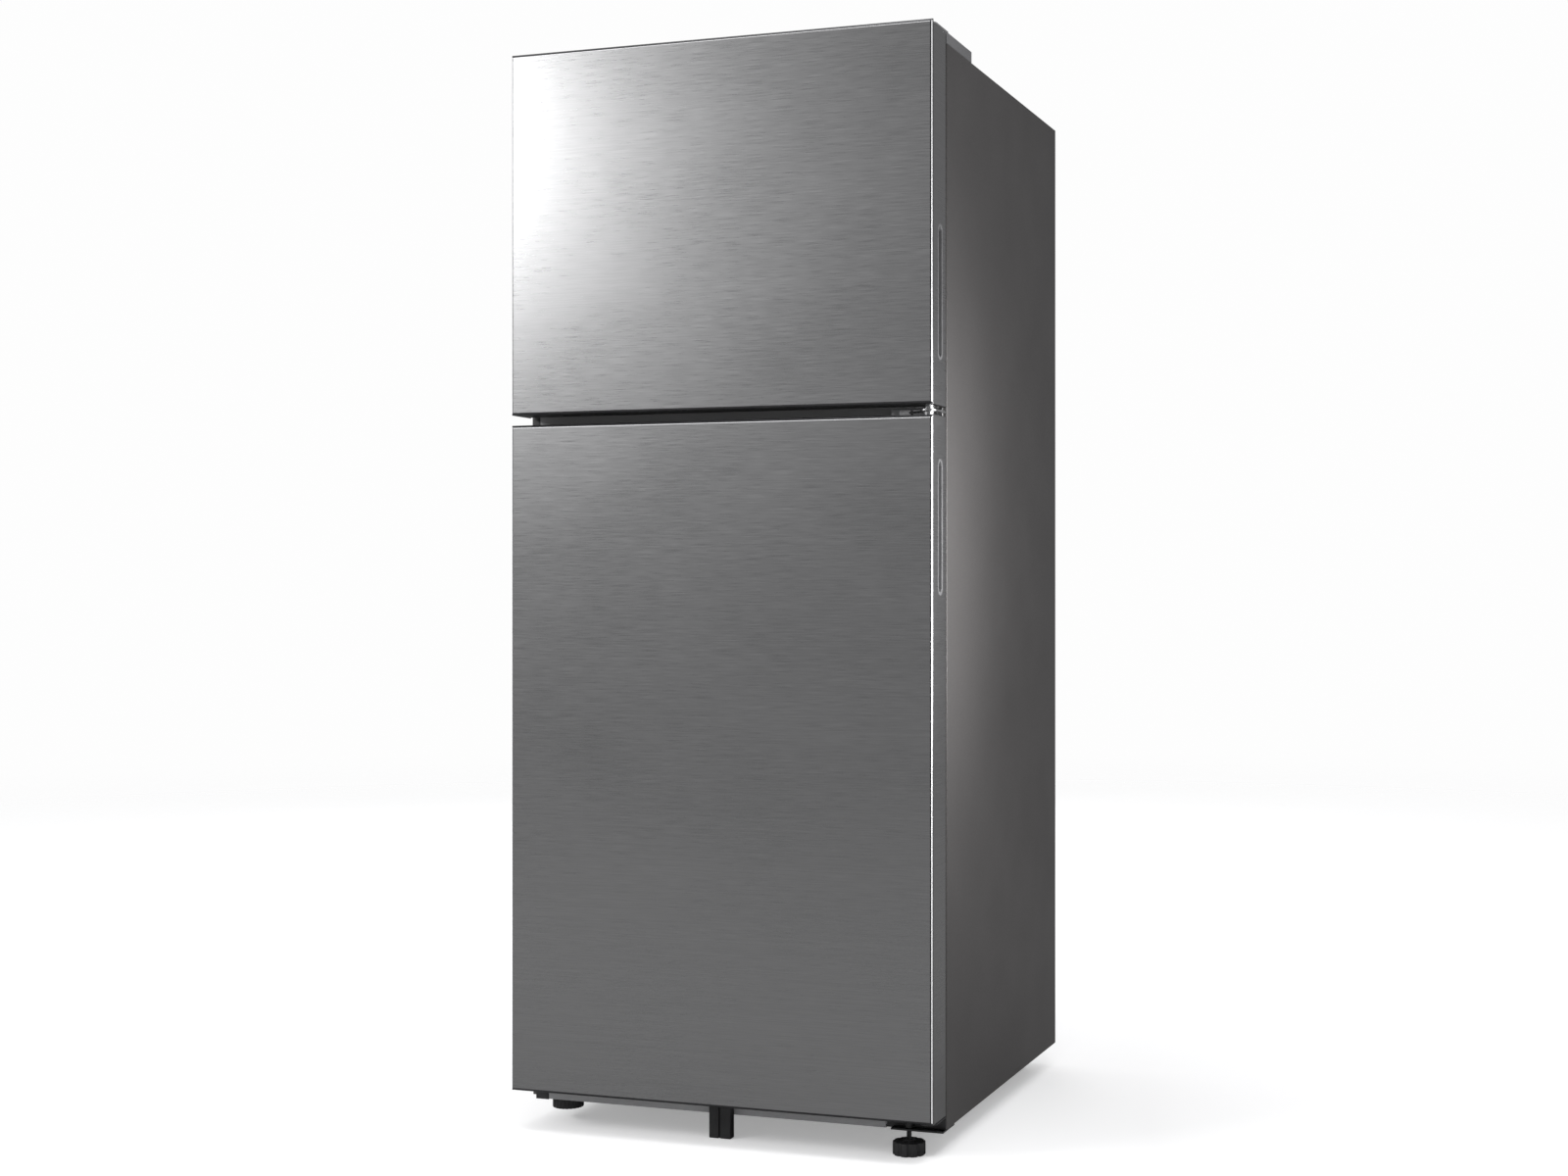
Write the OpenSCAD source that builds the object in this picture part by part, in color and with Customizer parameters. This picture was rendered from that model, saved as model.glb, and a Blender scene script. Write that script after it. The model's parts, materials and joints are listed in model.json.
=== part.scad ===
/* [Whole refrigerator] */
// Width across the doors and the cabinet
body_w = 700; // [680:5:720]
// Height of the doors' top edge above the floor
body_h = 1700; // [1690:5:1720]
// Depth from the doors' faces to the back panel
body_d = 730; // [715:5:750]

/* [Doors] */
// Thickness of a door without its gasket
door_t = 64; // [62:1:68]
// Space between a door's inner face and the cabinet's front
gasket_gap = 8; // [7:0.5:10]
// Height of the freezer door's bottom edge
freezer_door_z = 1130; // [1125:1:1135]
// Height of the fridge door's top edge
fridge_door_top = 1114; // [1110:1:1118]
// Height of the fridge door's bottom edge
fridge_door_z = 62; // [62:1:70]
// Thickness of the steel door skin
skin_t = 1; // [0.8:0.1:1.2]
// Bevel along the skin's front edges
skin_bevel = 3; // [2:0.5:4]
// Height of the moulded end caps of a door
cap_h = 30; // [30:1:34]
// Distance of the hinge axis from the door's side
axis_side = 14; // [14:0.5:15]
// Distance of the hinge axis from the door's inner face
axis_back = 38; // [38:1:40]
// Depth of the raised frame on a door's inner face
dike_d = 43; // [30:1:45]

/* [Finger grips] */
// Length of a grip recess
grip_l = 205; // [180:5:220]
// Width of a grip's outer rim
grip_w = 25; // [24:1:28]
// Depth of a grip recess
grip_d = 14; // [12:1:16]
// Distance of a grip's middle from the door's face
grip_y = 38.5; // [36:0.5:40]
// Height of the middle of the freezer door's grips
freezer_grip_z = 1300; // [1280:5:1340]
// Height of the middle of the fridge door's grips
fridge_grip_z = 948; // [900:1:960]

/* [Cabinet] */
// Height of the side panels' bottom edge
cab_z = 40; // [40:1:44]
// Height of the cabinet's top
cab_top = 1679; // [1670:1:1680]
// Thickness of the cabinet's steel sheet
sheet_t = 1; // [0.8:0.1:1.2]
// Thickness of the moulded liners
liner_t = 1.5; // [1.2:0.1:2]
// Thickness of a side wall with its foam
wall_t = 55; // [50:1:60]
// Height of the fridge compartment's floor
fridge_floor = 95; // [94:1:98]
// Height of the fridge compartment's ceiling
fridge_ceiling = 1087; // [1085:1:1090]
// Height of the freezer compartment's floor
freezer_floor = 1157; // [1155:1:1160]
// Height of the freezer compartment's ceiling
freezer_ceiling = 1619; // [1610:1:1620]
// Height of the step over the machine space, inside the fridge
step_z = 325; // [320:1:326]
// Place of the front of that step
step_y = 120; // [116:1:122]

/* [Inside] */
// Heights of the fridge's glass shelves
shelf_z = [330, 600, 880];
// Height of the freezer's glass shelf
freezer_shelf_z = 1330; // [1325:1:1340]
// Thickness of the glass
glass_t = 4; // [3:0.5:5]
// Heights of the fridge door's bins
fridge_bin_z = [128, 470, 770];
// Heights of the walls of the fridge door's bins
fridge_bin_h = [150, 110, 100];
// Heights of the freezer door's bins
freezer_bin_z = [1190, 1420];
// Height of the walls of the freezer door's bins
freezer_bin_h = 105; // [80:1:120]

/* [Standing] */
// Radius of a rear roller
roller_r = 22; // [20:0.5:22]
// Radius of a levelling foot's pad
pad_r = 25; // [22:1:26]
// Height of a foot's pad
pad_h = 20; // [18:1:20]
// Height of the left foot's pad, screwed in off the floor
left_pad_z = 19; // [15:1:19]

/* [Hidden] */
$fn = 64;
half_w = body_w / 2;
front_y = -body_d / 2;
back_y = body_d / 2;
door_in_y = front_y + door_t;
cab_y = door_in_y + gasket_gap;
axis_x = half_w - axis_side;
axis_y = door_in_y - axis_back;
pin_r = 4;
running_gap = 0.05;
solid_gap = 0.2;
pin_reach = 16;

// Compartments and the foam round them
in_x = half_w - wall_t;
liner_x = in_x + liner_t;
skin_x = half_w - sheet_t;
comp_back = 300;
foam_y = cab_y + liner_t;
foam_back = back_y - sheet_t;
flange_x = half_w - 20;
rail_z0 = fridge_door_top - 7;
rail_z1 = freezer_door_z + 7;
machine_y = step_y + 30;
machine_top = step_z - 50;
base_z = cab_z + 6;

// Doors
gasket_w = 16;
gasket_air = 0.4;
dike_x = in_x - 12;
dike_w = 22;
dike_gap = 8;
lip = 6;
bin_x = dike_x - dike_w - 1;
fridge_bin_y = axis_y + 163;
freezer_bin_y = axis_y + 124;
bin_t = 2.5;
slot_w = 15;
cup_t = 2;
cup_x = half_w - grip_d - cup_t;

// Top hinge: a pocket in the door's cap takes the arm
arm_t = 3;
arm_half = 13.3;
nose_r = 13;
pocket_z = body_h - 8.2;
arm_z = pocket_z + 0.5;
pocket_x = axis_x - 28;
middle_arm_z = (fridge_door_top + freezer_door_z) / 2 - arm_t / 2;
low_arm_z = fridge_door_z - 5;
screw_r = 2.5;
hinge_screw_x = [axis_x - 50, axis_x - 28];
top_screw_y = [cab_y + 28, cab_y + 70];
low_screw_x = [axis_x - 72, axis_x - 60];

// Feet, leg and rollers
foot_z = cab_z - 3;
right_foot_at = [axis_x - 44, cab_y - 7];
left_foot_at = [-half_w + 50, cab_y + 27];
stem_r = 3.5;
leg_x = -15;
leg_w = 36;
rail_x0 = -half_w + 30;
rail_x1 = axis_x - 83;
roller_y = 318;
roller_x = 276;
roller_w = 22;

// Machine space
compressor_at = [150, 258];
fan_at = [-60, 262, 125];
condenser_x = [-250, -90];
pipe_y = 176;
pipe_z = 150;

// Freezer fittings
cover_y = 230;
freezer_fan_z = 1500;
ice_x = [-283, -17];
ice_y = [-185, 135];
tray_z = freezer_shelf_z + 155;
tray_x = [-215, -85];
bucket_front = -182;

// Fridge fittings
duct_y = 270;
shelf_back = duct_y - 8;
drawer_x = in_x - 12;
drawer_front = -150;
dial_at = [70, -210, fridge_ceiling - 19];

// ---- shapes used by many pieces

// A box between two opposite corners
module block(lo, hi) {
    translate(lo) cube(hi - lo);
}

// A box as wide as x0 to x1, with its section drawn in the Y and Z directions
module across(x0, x1) {
    translate([x0, 0, 0]) rotate([90, 0, 90]) linear_extrude(x1 - x0) children();
}

module both_sides() {
    children();
    mirror([1, 0, 0]) children();
}

// A round bar along X, Y or Z that starts at a point
module bar_x(from, l, r) {
    translate(from) rotate([0, 90, 0]) cylinder(h = l, r = r);
}

module bar_y(from, l, r) {
    translate(from) rotate([-90, 0, 0]) cylinder(h = l, r = r);
}

module bar_z(from, l, r) {
    translate(from) cylinder(h = l, r = r);
}

// An open-topped box
module open_box(lo, hi, wall) {
    difference() {
        block(lo, hi);
        block(lo + [wall, wall, wall], hi + [-wall, -wall, 1]);
    }
}

// A flat ring in the X and Z directions
module frame_ring(x, z0, z1, w, y0, y1) {
    difference() {
        block([-x, y0, z0], [x, y1, z1]);
        block([-x + w, y0 - 1, z0 + w], [x - w, y1 + 1, z1 - w]);
    }
}

module stadium(w, l) {
    square([w, l - w], center = true);
    for (s = [-1, 1]) translate([0, s * (l - w) / 2]) circle(d = w);
}

// ---- doors

// The outside of a door's skin with bevelled front edges, smaller by an inset
module door_block(z0, z1, inset) {
    x = half_w - inset;
    y = front_y + inset;
    b = skin_bevel;
    intersection() {
        translate([0, 0, z0 + inset]) linear_extrude(z1 - z0 - 2 * inset)
            polygon([[-x, door_in_y], [-x, y + b], [-x + b, y], [x - b, y], [x, y + b], [x, door_in_y]]);
        across(-half_w, half_w)
            polygon([[door_in_y, z0 + inset], [y + b, z0 + inset], [y, z0 + inset + b],
                [y, z1 - inset - b], [y + b, z1 - inset], [door_in_y, z1 - inset]]);
    }
}

module grip_outline(z, w, l) {
    across(-half_w - 1, half_w + 1) translate([front_y + grip_y, z]) stadium(w, l);
}

// The space that the top hinge's arm turns in
module arm_pocket() {
    block([pocket_x, front_y + 4, pocket_z], [half_w + 1, door_in_y + 1, body_h + 1]);
}

module door_skin(z0, z1, grip_z) {
    difference() {
        door_block(z0, z1, 0);
        intersection() {
            door_block(z0, z1, skin_t);
            block([-half_w, front_y, z0], [half_w, front_y + lip, z1]);
        }
        block([-skin_x, front_y + lip - 0.1, z0 - 1], [skin_x, door_in_y + 1, z1 + 1]);
        grip_outline(grip_z, grip_w, grip_l);
    }
}

module door_caps(z0, z1) {
    difference() {
        intersection() {
            door_block(z0, z1, skin_t);
            union() for (z = [z0, z1 - cap_h])
                block([-half_w, front_y, z], [half_w, door_in_y, z + cap_h]);
        }
        for (z = [z0 - 1, z1 - pin_reach - 2])
            bar_z([axis_x, axis_y, z], pin_reach + 3, pin_r + running_gap);
    }
}

// Foam in blocks, so that each one is convex: a slab, strips round the grips and the raised frame
module door_core(z0, z1, grip_z, dike_z0, dike_z1) {
    back = door_in_y - liner_t;
    front = front_y + skin_t + skin_bevel;
    low = z0 + cap_h;
    high = z1 - cap_h;
    edge = cup_x - solid_gap;
    cup_half = grip_l / 2 - (grip_w - slot_w) / 2 + cup_t;
    cup_w = slot_w / 2 + cup_t;
    mid = front_y + grip_y;
    block([-edge + solid_gap, front_y + skin_t, low], [edge - solid_gap, back, high]);
    both_sides() {
        block([edge, front, grip_z + cup_half + solid_gap], [skin_x, back, high]);
        block([edge, front, low], [skin_x, back, grip_z - cup_half - solid_gap]);
        block([edge, front, grip_z - cup_half], [skin_x, mid - cup_w - 3, grip_z + cup_half]);
        block([edge, mid + cup_w + 3, grip_z - cup_half], [skin_x, back, grip_z + cup_half]);
        block([dike_x - dike_w + liner_t, back + solid_gap, dike_z0 + liner_t],
            [dike_x - liner_t, door_in_y + dike_d - liner_t, dike_z1 - liner_t]);
    }
    for (z = [dike_z0, dike_z1 - dike_w])
        block([-dike_x + dike_w - liner_t + solid_gap, back + solid_gap, z + liner_t],
            [dike_x - dike_w + liner_t - solid_gap, door_in_y + dike_d - liner_t, z + dike_w - liner_t]);
}

module door_liner(z0, z1, dike_z0, dike_z1) {
    difference() {
        union() {
            block([-skin_x, door_in_y - liner_t, z0 + cap_h], [skin_x, door_in_y, z1 - cap_h]);
            frame_ring(dike_x, dike_z0, dike_z1, dike_w, door_in_y - 0.1, door_in_y + dike_d);
        }
        difference() {
            block([-dike_x + liner_t, door_in_y - 2 * liner_t, dike_z0 + liner_t],
                [dike_x - liner_t, door_in_y + dike_d - liner_t, dike_z1 - liner_t]);
            block([-dike_x + dike_w - liner_t, door_in_y - 3 * liner_t, dike_z0 + dike_w - liner_t],
                [dike_x - dike_w + liner_t, door_in_y + dike_d, dike_z1 - dike_w + liner_t]);
        }
    }
}

module door_gasket(z0, z1) {
    frame_ring(flange_x, z0, z1, gasket_w, door_in_y, cab_y - gasket_air);
}

// Moulded finger recesses, one in each side edge
module door_grips(grip_z) {
    inner_l = grip_l - (grip_w - slot_w);
    both_sides() difference() {
        translate([0, front_y + grip_y, grip_z]) {
            across(skin_x, half_w) stadium(grip_w, grip_l);
            across(cup_x, skin_x + 0.1) stadium(slot_w + 2 * cup_t, inner_l + 2 * cup_t);
        }
        translate([0, front_y + grip_y, grip_z])
            across(half_w - grip_d, half_w + 1) stadium(slot_w, inner_l);
    }
}

module door_bins(z_list, h_list, reach_y) {
    for (i = [0 : len(z_list) - 1])
        open_box([-bin_x, door_in_y + 0.5, z_list[i]],
            [bin_x, reach_y, z_list[i] + h_list[i]], bin_t);
}

module freezer_door_skin() {
    color([0.62, 0.63, 0.64]) difference() {
        door_skin(freezer_door_z, body_h, freezer_grip_z);
        arm_pocket();
    }
}

module freezer_door_core() {
    color([0.93, 0.86, 0.62])
        door_core(freezer_door_z, body_h, freezer_grip_z, freezer_floor + dike_gap, freezer_ceiling - dike_gap);
}

module freezer_door_caps() {
    color([0.25, 0.25, 0.26]) difference() {
        door_caps(freezer_door_z, body_h);
        arm_pocket();
        bar_z([axis_x, axis_y, pocket_z - pin_reach - 2], pin_reach, pin_r + running_gap);
    }
}

module freezer_door_liner() {
    color([0.95, 0.95, 0.95])
        door_liner(freezer_door_z, body_h, freezer_floor + dike_gap, freezer_ceiling - dike_gap);
}

module freezer_door_gasket() {
    color([0.7, 0.7, 0.7]) door_gasket(rail_z1, cab_top - 11);
}

module freezer_door_grips() {
    color([0.35, 0.35, 0.36]) door_grips(freezer_grip_z);
}

module freezer_door_bin_low() {
    color([0.85, 0.92, 0.95, 0.6])
        door_bins([freezer_bin_z[0]], [freezer_bin_h], freezer_bin_y);
}
module freezer_door_bin_high() {
    color([0.85, 0.92, 0.95, 0.6])
        door_bins([freezer_bin_z[1]], [freezer_bin_h], freezer_bin_y);
}

module fridge_door_skin() {
    color([0.6, 0.61, 0.62]) door_skin(fridge_door_z, fridge_door_top, fridge_grip_z);
}

module fridge_door_core() {
    color([0.93, 0.86, 0.62])
        door_core(fridge_door_z, fridge_door_top, fridge_grip_z, fridge_floor + dike_gap, fridge_ceiling - dike_gap);
}

module fridge_door_caps() {
    color([0.25, 0.25, 0.26]) door_caps(fridge_door_z, fridge_door_top);
}

module fridge_door_liner() {
    color([0.95, 0.95, 0.95])
        door_liner(fridge_door_z, fridge_door_top, fridge_floor + dike_gap, fridge_ceiling - dike_gap);
}

module fridge_door_gasket() {
    color([0.7, 0.7, 0.7]) door_gasket(fridge_door_z + 10, rail_z0);
}

module fridge_door_grips() {
    color([0.35, 0.35, 0.36]) door_grips(fridge_grip_z);
}

module fridge_door_bins() {
    color([0.85, 0.92, 0.95, 0.6]) door_bins(fridge_bin_z, fridge_bin_h, fridge_bin_y);
}

// ---- cabinet

module side_panels() {
    color([0.33, 0.32, 0.32]) both_sides() {
        block([skin_x, cab_y, cab_z], [half_w, back_y, cab_top]);
        block([flange_x, cab_y, cab_z], [half_w, cab_y + sheet_t, cab_top]);
    }
}

module top_panel() {
    color([0.33, 0.32, 0.32]) {
        block([-skin_x, cab_y + sheet_t, cab_top - sheet_t], [skin_x, back_y, cab_top]);
        block([-flange_x, cab_y, cab_top - 19], [flange_x, cab_y + sheet_t, cab_top]);
    }
}

module back_panel() {
    color([0.7, 0.71, 0.72])
        block([-skin_x, foam_back, machine_top + sheet_t], [skin_x, back_y, cab_top - sheet_t]);
}

// Floor sheet that steps up over the machine space, with a nut for the left foot
module bottom_panel() {
    t = sheet_t;
    color([0.7, 0.71, 0.72]) difference() {
        union() {
            block([-flange_x, cab_y, cab_z], [flange_x, cab_y + t, fridge_door_z + 13]);
            across(-skin_x, skin_x)
                polygon([[cab_y + t, cab_z], [machine_y + t, cab_z], [machine_y + t, machine_top],
                    [foam_back, machine_top], [foam_back, machine_top + t], [machine_y, machine_top + t],
                    [machine_y, cab_z + t], [cab_y + t, cab_z + t]]);
            bar_z([left_foot_at.x, left_foot_at.y, cab_z], 12, 8);
        }
        bar_z([left_foot_at.x, left_foot_at.y, cab_z - 1], 20, stem_r + running_gap);
    }
}

// Foam in separate convex slabs that fill the walls
module insulation() {
    g = solid_gap;
    x = liner_x;
    color([0.93, 0.86, 0.62]) difference() {
        union() {
            both_sides() {
                block([x + g, foam_y, machine_top + sheet_t], [skin_x, foam_back, cab_top - sheet_t]);
                block([x + g, foam_y, cab_z + sheet_t], [skin_x, machine_y - g, machine_top + sheet_t - g]);
            }
            block([-x, foam_y, freezer_ceiling + liner_t], [x, foam_back, cab_top - sheet_t]);
            block([-x, foam_y, fridge_ceiling + liner_t], [x, comp_back + liner_t - g, freezer_floor - liner_t]);
            block([-x, foam_y, cab_z + sheet_t], [x, machine_y - g, fridge_floor - liner_t]);
            block([-x, step_y + liner_t, fridge_floor - liner_t + g], [x, machine_y - g, step_z - liner_t]);
            block([-x, machine_y, machine_top + sheet_t], [x, foam_back, step_z - liner_t]);
            block([-x, comp_back + liner_t, step_z - liner_t + g], [x, foam_back, freezer_ceiling + liner_t - g]);
        }
        bar_z([left_foot_at.x, left_foot_at.y, cab_z], 22, 9);
    }
}

module freezer_liner() {
    color([0.95, 0.95, 0.95]) difference() {
        union() {
            block([-liner_x, cab_y, freezer_floor - liner_t],
                [liner_x, comp_back + liner_t, freezer_ceiling + liner_t]);
            block([-flange_x, cab_y, rail_z1], [flange_x, foam_y, cab_top - 19]);
        }
        block([-in_x, cab_y - 1, freezer_floor], [in_x, comp_back, freezer_ceiling]);
    }
}

// The section of the fridge compartment, with the step at the back
module fridge_section(grow, front) {
    polygon([[front, fridge_floor - grow], [step_y + grow, fridge_floor - grow],
        [step_y + grow, step_z - grow], [comp_back + grow, step_z - grow],
        [comp_back + grow, fridge_ceiling + grow], [front, fridge_ceiling + grow]]);
}

module fridge_liner() {
    color([0.95, 0.95, 0.95]) {
        difference() {
            union() {
                across(-liner_x, liner_x) fridge_section(liner_t, cab_y);
                block([-flange_x, cab_y, fridge_door_z + 13], [flange_x, foam_y, rail_z0]);
            }
            across(-in_x, in_x) fridge_section(0, cab_y - 1);
        }
        both_sides() for (z = shelf_z)
            block([in_x - 5, -155, z - 8], [in_x + 0.1, z - 8 < step_z ? step_y : comp_back - 10, z]);
    }
}

module mullion_rail() {
    color([0.55, 0.55, 0.56])
        block([-half_w + 14, cab_y - 1, rail_z0], [half_w - 14, cab_y, rail_z1]);
}

// Moulded plugs at the left ends of the two front rails
module trim_plugs() {
    color([0.06, 0.06, 0.06]) {
        block([-half_w, cab_y - 1.5, rail_z0 + 1], [-half_w + 14, cab_y, rail_z1 - 1]);
        block([-half_w + 7, cab_y - 2.5, foot_z - 3], [rail_x0, cab_y, cab_z + 28]);
    }
}

module base_rail() {
    color([0.55, 0.55, 0.56]) {
        block([rail_x0, cab_y - 2, cab_z - 5], [rail_x1, cab_y, cab_z + 30]);
        block([left_foot_at.x + pad_r + 10, cab_y - 2, cab_z - 5], [rail_x1, cab_y + 14, cab_z - 3.5]);
    }
}

// ---- hinges

// A hinge arm seen from above: a bar with a round nose on the axis
module arm_outline(half, back) {
    translate([axis_x - half, axis_y]) square([2 * half, back - axis_y]);
    translate([axis_x, axis_y]) circle(r = half);
}

module top_hinge() {
    plate_x = axis_x - 24;
    plate_end = half_w - 3;
    step_back = cab_y + 12;
    color([0.75, 0.75, 0.76]) difference() {
        union() {
            translate([0, 0, arm_z]) linear_extrude(arm_t) arm_outline(arm_half, cab_y - 1);
            block([plate_x, door_in_y - 8, arm_z], [plate_end, step_back, arm_z + arm_t]);
            block([axis_x, door_in_y - 8, arm_z], [half_w - 0.5, cab_y - 1, arm_z + arm_t]);
            block([plate_x, step_back - arm_t, cab_top], [plate_end, step_back, arm_z + arm_t]);
            block([plate_x, step_back - arm_t, cab_top], [plate_end, cab_y + 88, cab_top + arm_t]);
            bar_z([axis_x, axis_y, pocket_z - pin_reach], pin_reach + 1, pin_r);
        }
        for (y = top_screw_y) bar_z([axis_x - 12, y, cab_top - 1], arm_t + 2, screw_r + 0.3);
    }
}

module hinge_cover() {
    t = 1.5;
    top = body_h - 3;
    color([0.5, 0.5, 0.51]) {
        difference() {
            block([axis_x - 46, cab_y + 0.5, cab_top], [half_w - 1, cab_y + 134, top]);
            block([axis_x - 46 + t, cab_y, cab_top - 1], [half_w - 1 - t, cab_y + 134 - t, top - t]);
        }
        translate([0, 0, arm_z + arm_t + 0.2]) linear_extrude(body_h - 0.5 - arm_z - arm_t - 0.2)
            arm_outline(arm_half, cab_y + 8);
    }
}

module middle_hinge() {
    z = middle_arm_z;
    plate = cab_y - 1;
    collar = 8;
    color([0.8, 0.8, 0.81]) difference() {
        union() {
            block([axis_x - 74, plate - arm_t, z - 5], [axis_x + 8, plate, z + 8]);
            translate([0, 0, z]) linear_extrude(arm_t) {
                arm_outline(nose_r, plate - arm_t + 1);
                polygon([[axis_x - 51, plate - arm_t + 1], [axis_x - 10, plate - arm_t + 1],
                    [axis_x - 10, axis_y + nose_r]]);
            }
            bar_z([axis_x, axis_y, fridge_door_top - pin_reach],
                freezer_door_z - fridge_door_top + 2 * pin_reach, pin_r);
            bar_z([axis_x, axis_y, fridge_door_top + 0.4], freezer_door_z - fridge_door_top - 0.8, collar);
        }
        for (x = hinge_screw_x) {
            bar_y([x, plate - arm_t - 1, z + 1.5], arm_t + 2, screw_r + 0.3);
            bar_y([x, plate - arm_t - 5, z + 1.5], 5, 6.2);
        }
    }
}

module lower_hinge() {
    z = low_arm_z;
    color([0.05, 0.05, 0.05]) difference() {
        union() {
            block([rail_x1 + 2, cab_y - 3, foot_z], [half_w - 1, cab_y, z + arm_t]);
            block([rail_x1 + 13, cab_y - 18, foot_z], [half_w - 0.5, cab_y + 40, cab_z]);
            translate([0, 0, z]) linear_extrude(arm_t) arm_outline(nose_r, cab_y - 1);
            bar_z([axis_x, axis_y, z], fridge_door_z + pin_reach - z, pin_r);
            bar_z([axis_x, axis_y, z], fridge_door_z - 0.4 - z, 8);
            bar_z([right_foot_at.x, right_foot_at.y, foot_z], 13, 6.5);
        }
        bar_z([right_foot_at.x, right_foot_at.y, foot_z - 1], 20, stem_r + running_gap);
        for (x = low_screw_x) bar_y([x, cab_y - 4, cab_z + 10], 5, screw_r + 0.3);
    }
}

// A hexagon-head screw with its tip at the origin and its head up
module screw(grip, head_r) {
    cylinder(h = grip + 0.1, r = screw_r);
    translate([0, 0, grip]) cylinder(h = 3.5, r = head_r, $fn = 6);
}

module hinge_screws() {
    color([0.7, 0.7, 0.7]) {
        for (y = top_screw_y) translate([axis_x - 12, y, cab_top]) screw(arm_t, 6);
        for (x = hinge_screw_x)
            translate([x, cab_y - 1, middle_arm_z + 1.5]) rotate([90, 0, 0]) screw(arm_t, 5.5);
        for (x = low_screw_x)
            translate([x, cab_y, cab_z + 10]) rotate([90, 0, 0]) screw(arm_t, 5);
    }
}

// ---- standing

module centre_leg() {
    x0 = leg_x - leg_w / 2;
    y1 = cab_y - 2;
    y0 = y1 - 16;
    color([0.05, 0.05, 0.05]) difference() {
        block([x0, y0, 0], [x0 + leg_w, y1, fridge_door_z - 4]);
        block([x0 + leg_w * 0.45, y0 - 1, -1], [x0 + leg_w * 0.45 + 2.5, y0 + 3, fridge_door_z]);
    }
}

// A levelling foot: a grooved pad, a collar and a threaded stem
module foot(at, z, grooves, groove_r, collar_h, stem_l) {
    translate([at.x, at.y, z]) {
        linear_extrude(pad_h) difference() {
            circle(r = pad_r);
            for (i = [0 : grooves - 1]) rotate(i * 360 / grooves)
                translate([pad_r + 0.3 * groove_r, 0]) circle(r = groove_r);
        }
        if (collar_h > 0) cylinder(h = pad_h + collar_h, r = 9);
        cylinder(h = pad_h + stem_l, r = stem_r);
    }
}

module right_foot() {
    color([0.05, 0.05, 0.05]) foot(right_foot_at, 0, 10, 3, 3, 29);
}

module left_foot() {
    color([0.05, 0.05, 0.05]) foot(left_foot_at, left_pad_z, 24, 1.2, 0, 19);
}

module roller(side) {
    x0 = side > 0 ? roller_x : -roller_x - roller_w;
    color([0.12, 0.12, 0.12]) difference() {
        bar_x([x0, roller_y, roller_r], roller_w, roller_r);
        bar_x([x0 - 1, roller_y, roller_r], roller_w + 2, pin_r + running_gap);
    }
}

module roller_left() {
    roller(-1);
}

module roller_right() {
    roller(1);
}

// ---- machine space

// Cross plate that carries the compressor, with the rollers' ears and axle studs
module compressor_base() {
    ear_t = 4;
    x = roller_x - 0.5;
    color([0.2, 0.2, 0.2]) {
        block([-skin_x, machine_y + sheet_t, base_z], [skin_x, foam_back - 1, base_z + 2]);
        both_sides() {
            block([x - ear_t, roller_y - 18, roller_r - 12], [x, roller_y + 18, base_z + 0.5]);
            bar_x([x - 1, roller_y, roller_r], roller_w + 3, pin_r);
            bar_x([x + roller_w + 1, roller_y, roller_r], 2, 7);
        }
    }
}

module compressor_mounts() {
    color([0.08, 0.08, 0.08]) for (sx = [-1, 1], sy = [-1, 1])
        bar_z([compressor_at.x + sx * 80, compressor_at.y + sy * 42, base_z + 2], 12, 9);
}

module compressor() {
    z = base_z + 14;
    color([0.07, 0.07, 0.08]) translate([compressor_at.x, compressor_at.y, z]) {
        translate([-92, -54, 0]) cube([184, 108, 3]);
        rotate_extrude() polygon([[0, 0], [62, 0], [68, 12], [68, 60], [70, 60], [70, 66], [68, 66],
            [68, 96], [60, 122], [44, 136], [22, 141], [0, 142]]);
        translate([0, -76, 50]) cube([44, 30, 44], center = true);
    }
}

// Tubes and fins of a heat exchanger between two corners, with the tubes along X
module finned_coil(lo, hi, fins, rows, columns, tube_r) {
    pitch = (hi.x - lo.x) / (fins - 1);
    for (i = [0 : fins - 1])
        block([lo.x + i * pitch - 0.5, lo.y, lo.z], [lo.x + i * pitch + 0.5, hi.y, hi.z]);
    for (r = [0 : rows - 1], c = [0 : columns - 1])
        bar_x([lo.x - 8, lo.y + (c + 0.5) * (hi.y - lo.y) / columns, lo.z + (r + 0.5) * (hi.z - lo.z) / rows],
            hi.x - lo.x + 16, tube_r);
    block([lo.x - 2, lo.y + 3, lo.z + 3], [hi.x + 2, lo.y + 4, lo.z + 9]);
}

module condenser() {
    color([0.1, 0.1, 0.1])
        finned_coil([condenser_x[0] + 10, 200, base_z + 2], [condenser_x[1] - 10, 330, 200], 13, 4, 3, 3);
}

// Discharge pipe with the drier on it, bent round past the fan
module refrigerant_pipes() {
    x0 = -140;
    x1 = compressor_at.x - 30;
    bend = 10;
    r = 3;
    color([0.72, 0.45, 0.3]) {
        bar_x([x0 + bend, pipe_y, pipe_z], x1 - x0 - 2 * bend, r);
        bar_x([-20, pipe_y, pipe_z], 80, 9);
        translate([x0 + bend, pipe_y + bend, pipe_z]) rotate(180) rotate_extrude(angle = 90)
            translate([bend, 0]) circle(r = r);
        translate([x1 - bend, pipe_y + bend, pipe_z]) rotate(270) rotate_extrude(angle = 90)
            translate([bend, 0]) circle(r = r);
        bar_y([x0, pipe_y + bend, pipe_z], 14, r);
        bar_y([x1, pipe_y + bend, pipe_z], 9, r);
    }
}

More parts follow.
